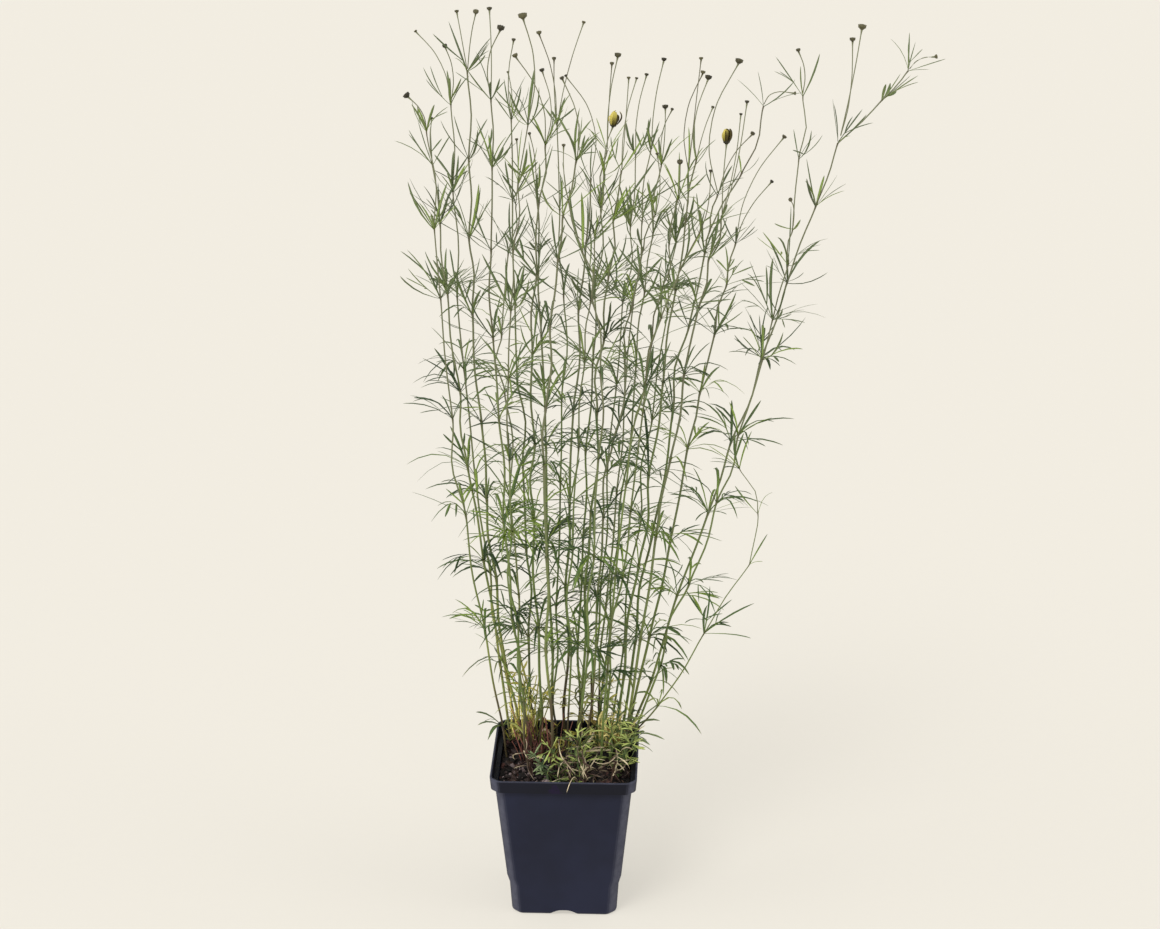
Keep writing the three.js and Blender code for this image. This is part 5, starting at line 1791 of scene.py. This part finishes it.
# %% Petal finish
PETAL_YELLOW = (0.58, 0.48, 0.1, 1)
PETAL_OLIVE = (0.17, 0.14, 0.016, 1)
PETAL_SHADE_BROWN = (0.04, 0.027, 0.005, 1)


def petal_sockets(start):
    along = attribute(start, "along")
    tone = attribute(start, "tone")
    blots = speckle(place_of(start), 2 * MM, 4)
    # Painted light and shade: the tone from the petal's side of the bloom makes lit petals yellow and shaded
    # ones dark brown.
    colour = mixed((along * 0.5 + blots * 0.4 + tone * 0.7).between(0.5, 1.05), PETAL_OLIVE, PETAL_YELLOW)
    dark = 1 - (along * 0.35 + tone * 0.9 + blots * 0.5).between(0.5, 0.8)
    return {"Base Color": mixed(dark * 0.9, colour, PETAL_SHADE_BROWN)}


petal_finish = finish("petal_yellow", petal_sockets, Roughness=0.5, Specular_IOR_Level=0.25)
print("petal finish made")

# %% [markdown]
# The disc between the petals is a low dome of florets: little blunt pegs. Rings of pegs would show
# as rings. A real disc grows in a spiral, each floret a golden angle further round than the last,
# and that rule also fills the dome evenly.

# %% Blooms
FLORETS = 60
FLORET_SIZE = 0.7 * MM
DISC_SHARE = 0.9
DISC_HEIGHT = 1.6 * MM
GOLDEN_ANGLE = math.pi * (3 - math.sqrt(5))


def floret_form():
    bpy.ops.object.select_all(action="DESELECT")
    bpy.ops.mesh.primitive_cylinder_add(vertices=6, radius=0.35, depth=1, location=(0, 0, 0.5))
    peg = started("floret")
    pick(peg, "VERT", lambda v: v.co.z > 0.9)
    bpy.ops.transform.resize(value=(0.6, 0.6, 1), center_override=(0, 0, 1))
    only(peg)
    return form_of(peg)


def floret_spots(draw, seat, radius):
    spots = []
    for k in range(FLORETS):
        far = radius * math.sqrt((k + 0.5) / FLORETS)
        out = spoke(seat, k * GOLDEN_ANGLE)
        rise = DISC_HEIGHT * (1 - 0.5 * (far / radius) ** 2)
        lean = seat.axis + out * far / radius * 0.4
        place = seat.base + out * far + seat.axis * rise
        spots.append(Spot(place, out, lean, FLORET_SIZE, draw.random()))
    return spots


draw = random.Random(31)
floret = floret_form()
for node, seat in seats.items():
    blades = []
    for count, place, open_to, reach in PETAL_ROWS:
        blades += petal_row(draw, seat, count, CUP_RADIUS * place, open_to, PETAL_REACH * reach)
    petals = grown(node + "_petals", petal, blades)
    closed(petals, petal_finish, "petal", node)
    disc = scattered(node + "_disc", floret, floret_spots(draw, seat, CUP_RADIUS * DISC_SHARE))
    closed(disc, bud_finish, "petal")
    print(node, "triangles:", triangles_of(petals), triangles_of(disc))

# %% [markdown]
# ## Low shoots
# Young shoots stand on the soil round the stems' feet. They have the same leaves, shorter and
# denser, and now and then a second leaf leaves the node beside the CAD lobe. Green shoots are fresh,
# yellow ones have starved of light, and dry ones are thin, brown to tan, and curl. A dry leaf could
# be modelled on its own, but it is the same leaf after it has dried: the same blade with its line
# thrown aside and a strong twist.

# %% Shoot leaves
SHOOT_TONES = {"green_leaf": range(1, 8), "yellow_leaf": range(8, 12), "dry_leaf": range(12, 16)}
TONE_OF = {f"shoot_{k:02d}": tone for tone, numbers in SHOOT_TONES.items() for k in numbers}
BLUE_SHOOTS = ("shoot_06",)
SMALL_SHOOTS = {"shoot_05": 0.75, "shoot_06": 0.6}
SHOOT_WIDTH = 1.2 * MM
DRY_GIRTH = 0.72
SECOND_LEAF = 0.35
TIP_CLEARANCE = 1.5 * MM

# How far the leaves are thrown aside, as a share of their length, and how far they twist.
GREEN_CURL = (0.22, 2)
DRY_CURL = (0.36, 3)


def kept_on_soil(point, clearance):
    point.z = max(point.z, soil_under(point.x, point.y) + clearance)
    return point


def curled(draw, blade, amount, twist):
    """The same blade with its line thrown aside and its face turned."""
    length = (blade.tip - blade.root).length
    control = blade.control + any_way(draw) * length * amount
    tip = kept_on_soil(blade.tip + any_way(draw) * length * amount * 0.6, TIP_CLEARANCE)
    return blade._replace(control=control, tip=tip, twist=draw.uniform(-twist, twist))


def green_leaves(draw, lobe, node):
    blades = []
    leaves = [lobe]
    if draw.random() < SECOND_LEAF:
        leaves.append(turned(lobe, node, draw.choice((-1, 1)) * draw.uniform(0.4, 1.1), 0.8))
    for leaf in leaves:
        width = SHOOT_WIDTH * draw.uniform(0.75, 1.35)
        blade = curled(draw, blade_along(draw, leaf, node, width, draw.random()), *GREEN_CURL)
        blades += forked(draw, blade, draw.choice((0, 1, 1)))
    return blades


def dry_leaves(draw, lobe, node):
    width = SHOOT_WIDTH * DRY_GIRTH * draw.uniform(0.75, 1.2)
    return [curled(draw, blade_along(draw, lobe, node, width, draw.random()), *DRY_CURL)]


def dress_shoot(draw, plant, tone, size):
    leaves_of = dry_leaves if tone == "dry_leaf" else green_leaves
    blades = []
    for lobe in plant.lobes:
        node = min(nodes_of(plant), key=lambda node: (node - lobe.root).length)
        blades += leaves_of(draw, turned(lobe, node, 0, size), node)
    return blades


print("shoots of each tone:", {tone: len(numbers) for tone, numbers in SHOOT_TONES.items()})

# %% [markdown]
# Five finishes serve the shoots and the mat: green, yellow, dry, blue green and gold. Each could
# have a network of its own, but they differ only in their colours. So one function makes them all.
# A leaf's tone, small blots and the way along the leaf together choose between a dark and a light end.

# %% Shoot finishes
def toned_sockets(low, high, dull=0.1):
    """A leaf finish that runs from one colour to another with the leaf's tone and its length."""

    def sockets(start):
        tone = attribute(start, "tone")
        along = attribute(start, "along")
        blots = speckle(place_of(start), 3 * MM, 4)
        share = (tone + blots * 0.6 - 0.3 + along * 0.2).between(dull, 1.0)
        return {"Base Color": mixed(share, low, high)}

    return sockets


# The two ends of each finish, where its leaves are dark and where they are light, and how much of
# the range stays at the dark end.
SHOOT_COLOURS = {
    "green_leaf": ((0.045, 0.078, 0.015, 1), (0.45, 0.52, 0.14, 1), 0.25),
    "yellow_leaf": ((0.12, 0.15, 0.03, 1), (0.6, 0.53, 0.1, 1), 0.2),
    "dry_leaf": ((0.08, 0.042, 0.027, 1), (0.64, 0.53, 0.34, 1), 0.4),
    "blue_leaf": ((0.04, 0.075, 0.03, 1), (0.25, 0.32, 0.14, 1), 0.1),
    "gold_leaf": ((0.36, 0.25, 0.05, 1), (0.92, 0.79, 0.3, 1), 0.1),
}
SHOOT_FINISHES = {
    name: finish("low_" + name, toned_sockets(*colours), Roughness=0.6)
    for name, colours in SHOOT_COLOURS.items()
}
print("shoot finishes:", len(SHOOT_FINISHES))

# %% [markdown]
# A shoot is one piece: its short stem and its leaves are joined, since both have one finish. The
# stem carries the same two numbers as the leaves do, so that the finish can read them there too.

# %% Shoot pieces
SHOOT_RADIUS = 0.6 * MM
SHOOT_TAPER = (1.2, 0.8)
SHOOT_STEM_TONE = 0.4


def shoot_stem(name, plant):
    curve = round_curve(name)
    curve.bevel_resolution = 1
    add_axis(curve, plant.nodes, *(SHOOT_RADIUS * share for share in SHOOT_TAPER))
    piece = meshed(name, curve)
    count = len(piece.data.vertices)
    put_numbers(piece.data, "tone", np.full(count, SHOOT_STEM_TONE))
    put_numbers(piece.data, "along", np.zeros(count))
    return piece


draw = random.Random(13)
shoot_triangles = 0
for name in SHOOT_NAMES:
    tone = TONE_OF[name]
    blades = dress_shoot(draw, plants[name], tone, SMALL_SHOOTS.get(name, 1))
    leaves = grown(name + "_leaves", lobe_form, blades)
    whole = joined(name + "_tuft", leaves, shoot_stem(name + "_stem", plants[name]))
    look = "blue_leaf" if name in BLUE_SHOOTS else tone
    closed(whole, SHOOT_FINISHES[look], tone, name)
    shoot_triangles += triangles_of(whole)
print("shoot triangles:", shoot_triangles)

# %% [markdown]
# ## Mat and litter
# Between the shoots the soil carries a mat of short leaves. It is a patchwork: shaded green and blue
# green at the front, yellow and gold in the middle and at the back right, green at the right, and
# dry leaves among them. Hair particles could cover the soil, but they would spread one kind of leaf
# over all of it. A list of patches says what grows where, and each leaf is drawn from its patch.

# %% Mat: patches
# A patch's middle and spread in mm, how many leaves it has, the shortest and the longest of them in
# mm, how steeply they rise and how much they curl, and their finish. Where the last number is given,
# the patch lies in shade, and it darkens the leaves.
Patch = namedtuple("Patch", "x y spread leaves short long rise curl finish light", defaults=[1])
PATCHES = [
    Patch(-6, -31, 3.5, 12, 9, 14, 0.3, 0.15, "blue_leaf"),
    Patch(6, -17, 3.5, 6, 8, 14, 0.7, 0.2, "green_leaf", 0.75),
    Patch(-1, 14, 5, 14, 9, 16, 1.2, 0.25, "yellow_leaf"),
    Patch(2, 20, 5, 12, 9, 16, 1.3, 0.4, "gold_leaf"),
    Patch(12, 24, 7, 14, 9, 16, 1.2, 0.25, "yellow_leaf"),
    Patch(3, -27, 4, 7, 9, 15, 0.6, 0.25, "green_leaf", 0.7),
    Patch(24, 20, 3.2, 24, 20, 32, 3.2, 0.45, "gold_leaf"),
    Patch(-25, 28, 4.5, 22, 14, 24, 2.2, 0.3, "yellow_leaf"),
    Patch(22, 4, 8, 12, 9, 16, 0.7, 0.2, "green_leaf", 0.75),
    Patch(38, 25, 5, 24, 10, 18, 1.0, 0.2, "green_leaf"),
    Patch(20, -15, 10, 10, 9, 15, 0.4, 0.35, "dry_leaf"),
    Patch(-17, 20, 6, 6, 8, 12, 0.7, 0.35, "dry_leaf"),
    Patch(2, -25, 5.5, 18, 9, 16, 0.9, 0.3, "green_leaf", 0.7),
    Patch(8, -26, 6.5, 9, 9, 15, 0.7, 0.4, "dry_leaf"),
]
STEEP = 1.5
CLIMB = 0.8
WALL_GAP = 1.5 * MM
MAT_CLEARANCE = 0.8 * MM


def held_in(point):
    """The point itself, or the nearest one inside the pot's wall."""
    limit = half_soil - WALL_GAP
    point.x = min(limit, max(-limit, point.x))
    point.y = min(limit, max(-limit, point.y))
    return point


def mat_leaf(draw, patch):
    """A leaf of a patch. In a steep patch its tip goes on climbing, and otherwise it comes down."""
    place = Vector((draw.gauss(patch.x, patch.spread), draw.gauss(patch.y, patch.spread), 0))
    root = held_in(place * MM)
    root.z = peat_height(root.x, root.y)
    angle = draw.uniform(0, math.tau)
    out = Vector((math.cos(angle), math.sin(angle), 0))
    length = draw.uniform(patch.short, patch.long) * MM
    way = (out + UP * patch.rise * draw.uniform(0.3, 1.7)).normalized()
    control = root + way * length * 0.55
    climb = max(0, patch.rise - STEEP) * CLIMB
    ahead = (out + UP * (climb - draw.uniform(-0.4, 0.8))).normalized()
    tip = kept_on_soil(held_in(control + ahead * length * 0.5), MAT_CLEARANCE)
    width = draw.uniform(0.9, 1.6) * MM
    tone = draw.random() * patch.light
    blade = Blade(root, control, tip, width, (UP - out * 0.4).normalized(), 0, tone)
    return curled(draw, blade, patch.curl, 1 + 3 * patch.curl)


print("leaves in the patches:", sum(patch.leaves for patch in PATCHES))

# %% [markdown]
# Some leaves catch the eye one by one: large dead leaves, one of which hangs out over the front of
# the rim, golden curls that stand up at the right, and green leaves that reach over the right of the
# rim. Drawing them from a patch would lose their shape, so each has three points of its own.

# %% Mat: leaves with a place of their own
# The large dead leaves, in mm: their root, the point that their curve leans to, and their tip.
LARGE_DEAD_LEAVES = [
    ((8, -34, 94), (6, -42, 104), (2.5, -48, 92)),
    ((13, -24, 94), (14, -17, 99), (9, -13, 104)),
    ((13, -24, 94), (18, -21, 99), (20, -15, 103)),
    ((8, -2, 97), (18, -8, 102), (29, -2, 99)),
    ((6, 8, 97), (1, 6, 103), (0, 11, 107)),
    ((6, 8, 97), (11, 9, 101), (9, 14, 107)),
    ((10, 6, 97), (17, 7, 101), (18, 13, 108)),
    ((-20, 17, 96), (-15, 23, 106), (-10, 18, 99)),
    ((-38, 24, 93), (-33, 22, 101), (-25, 25, 103)),
    ((20, -20, 94), (14, -27, 103), (11, -35, 97)),
    ((30, -26, 93), (34, -17, 100), (31, -7, 103)),
    ((26, -16, 94), (32, -18, 102), (37, -27, 97)),
    ((2, -8, 95), (-4, -14, 101), (-2, -22, 97)),
]

# Golden curls that stand up in front of the stems at the right, in the same way.
GOLD_CURLS = [
    ((22, 10, 96), (17, 8, 116), (24, 8, 122)),
    ((23, 10, 96), (22, 7, 118), (29, 8, 117)),
    ((25, 11, 98), (31, 8, 122), (33, 9, 108)),
    ((24, 9, 97), (27, 6, 112), (21, 6, 113)),
    ((27, 10, 98), (34, 7, 112), (29, 6, 104)),
    ((22, 12, 98), (20, 9, 122), (27, 9, 126)),
    ((26, 12, 97), (28, 9, 126), (35, 9, 119)),
    ((25, 8, 96), (20, 5, 107), (27, 4, 106)),
]

# Green leaves that hang out over the rim at its right, in the same way.
OVER_THE_RIM = [
    ((36, 20, 97), (47, 15, 107), (61, 10, 101)),
    ((37, 22, 99), (49, 20, 116), (60, 17, 124)),
    ((36, 12, 96), (46, 6, 104), (54, 2, 96)),
    ((38, 24, 98), (47, 22, 112), (58, 16, 111)),
    ((35, 16, 97), (44, 12, 104), (52, 8, 98)),
]


def placed_leaf(draw, points, tone):
    root, control, tip = (Vector(point) * MM for point in points)
    width = draw.uniform(1.4, 2.0) * MM
    return Blade(root, control, tip, width, UP, draw.uniform(0.8, 2) * draw.choice((-1, 1)), tone)


print("placed leaves:", len(LARGE_DEAD_LEAVES), len(GOLD_CURLS), len(OVER_THE_RIM))

# %% [markdown]
# All the leaves of one finish become one piece, with the shoots' finishes. That keeps the pieces
# few, and a leaf may still differ from its neighbour by its tone.

# %% Mat pieces
MAT_SLOTS = {"blue_leaf": "green_leaf", "gold_leaf": "yellow_leaf"}
draw = random.Random(17)
mats = {name: [] for name in SHOOT_FINISHES}
for patch in PATCHES:
    for _ in range(patch.leaves):
        mats[patch.finish] += forked(draw, mat_leaf(draw, patch), draw.choice((0, 0, 1)))
mats["dry_leaf"] += [placed_leaf(draw, points, 1.0) for points in LARGE_DEAD_LEAVES]
mats["blue_leaf"] += [placed_leaf(draw, points, draw.uniform(0.2, 0.8)) for points in OVER_THE_RIM]
mats["gold_leaf"] += [placed_leaf(draw, points, draw.uniform(0.7, 1)) for points in GOLD_CURLS]
for name, blades in mats.items():
    mat = grown(name + "_mat", lobe_form, blades)
    closed(mat, SHOOT_FINISHES[name], MAT_SLOTS.get(name, name))
    print(mat.name, "triangles:", triangles_of(mat))

# %% [markdown]
# Between the living stems stand old ones: red-brown stubs of cut stems at the left of the middle,
# and pale yellow sheaths round the feet of the stems at the back left. They could be curves like
# the stems, but they are short and many, so both use one more form for `grown`: a blade of nearly
# even width, as thick as it is wide. A clod of wet peat, a large rough ball, lies beside them.

# %% Stubs, sheaths and the clod
STUB_CUTS = [(0.0, 1.0), (0.3, 0.95), (0.7, 0.9), (1.0, 0.7)]
STUB_KEEL = 0.5
STUB_COLOURS = ((0.05, 0.016, 0.012, 1), (0.25, 0.09, 0.062, 1))
SHEATH_COLOURS = ((0.25, 0.25, 0.05, 1), (0.8, 0.73, 0.19, 1))
CLOD = Spot(Vector((-32, 21, 90)) * MM, Vector((1, 0.3, 0)), Vector((0.2, -0.1, 1)), 11 * MM, 0.2)
SHORTER_BIAS = 1.5
BEND_IN_MM = 1.5

# Their middle and spread in mm, the shortest and the longest in mm, how far they lean, how many there
# are, and the thinnest and the thickest in mm.
Stand = namedtuple("Stand", "x y spread low high lean count thin thick")
STUB_STAND = Stand(-17, 2, 6.5, 5, 32, 0.25, 62, 0.8, 1.4)
SHEATH_STAND = Stand(-26, 26, 4.5, 14, 54, 0.16, 34, 0.9, 1.9)


def upright(draw, stand):
    """A short upright blade that stands in the soil."""
    width = draw.uniform(stand.thin, stand.thick) * MM
    foot = Vector((draw.gauss(stand.x, stand.spread), draw.gauss(stand.y, stand.spread), 0)) * MM
    foot.z = soil_under(foot.x, foot.y) - MM
    way = Vector((draw.gauss(0, stand.lean), draw.gauss(0, stand.lean), 1))
    tip = foot + way * (stand.low + (stand.high - stand.low) * draw.random() ** SHORTER_BIAS) * MM
    control = (foot + tip) / 2 + any_way(draw) * BEND_IN_MM * MM
    return Blade(foot, control, tip, width, any_way(draw), draw.uniform(-1, 1), draw.random())


def standing(draw, name, stand):
    return grown(name, stub_form, [upright(draw, stand) for _ in range(stand.count)])


draw = random.Random(19)
stub_form = blade_form("stub", STUB_CUTS, STUB_KEEL)
stubs = standing(draw, "old_stubs", STUB_STAND)
closed(stubs, finish("stub_brown", toned_sockets(*STUB_COLOURS), Roughness=0.85), "dry_leaf")
sheaths = standing(draw, "pale_sheaths", SHEATH_STAND)
closed(sheaths, finish("sheath_yellow", toned_sockets(*SHEATH_COLOURS), Roughness=0.6), "yellow_leaf")
clod = scattered("peat_clod", rough_ball("clod", 4, 0.8, 8), [CLOD])
closed(clod, crumb_finish, "soil")
for piece in (stubs, sheaths, clod):
    print(piece.name, "triangles:", triangles_of(piece))
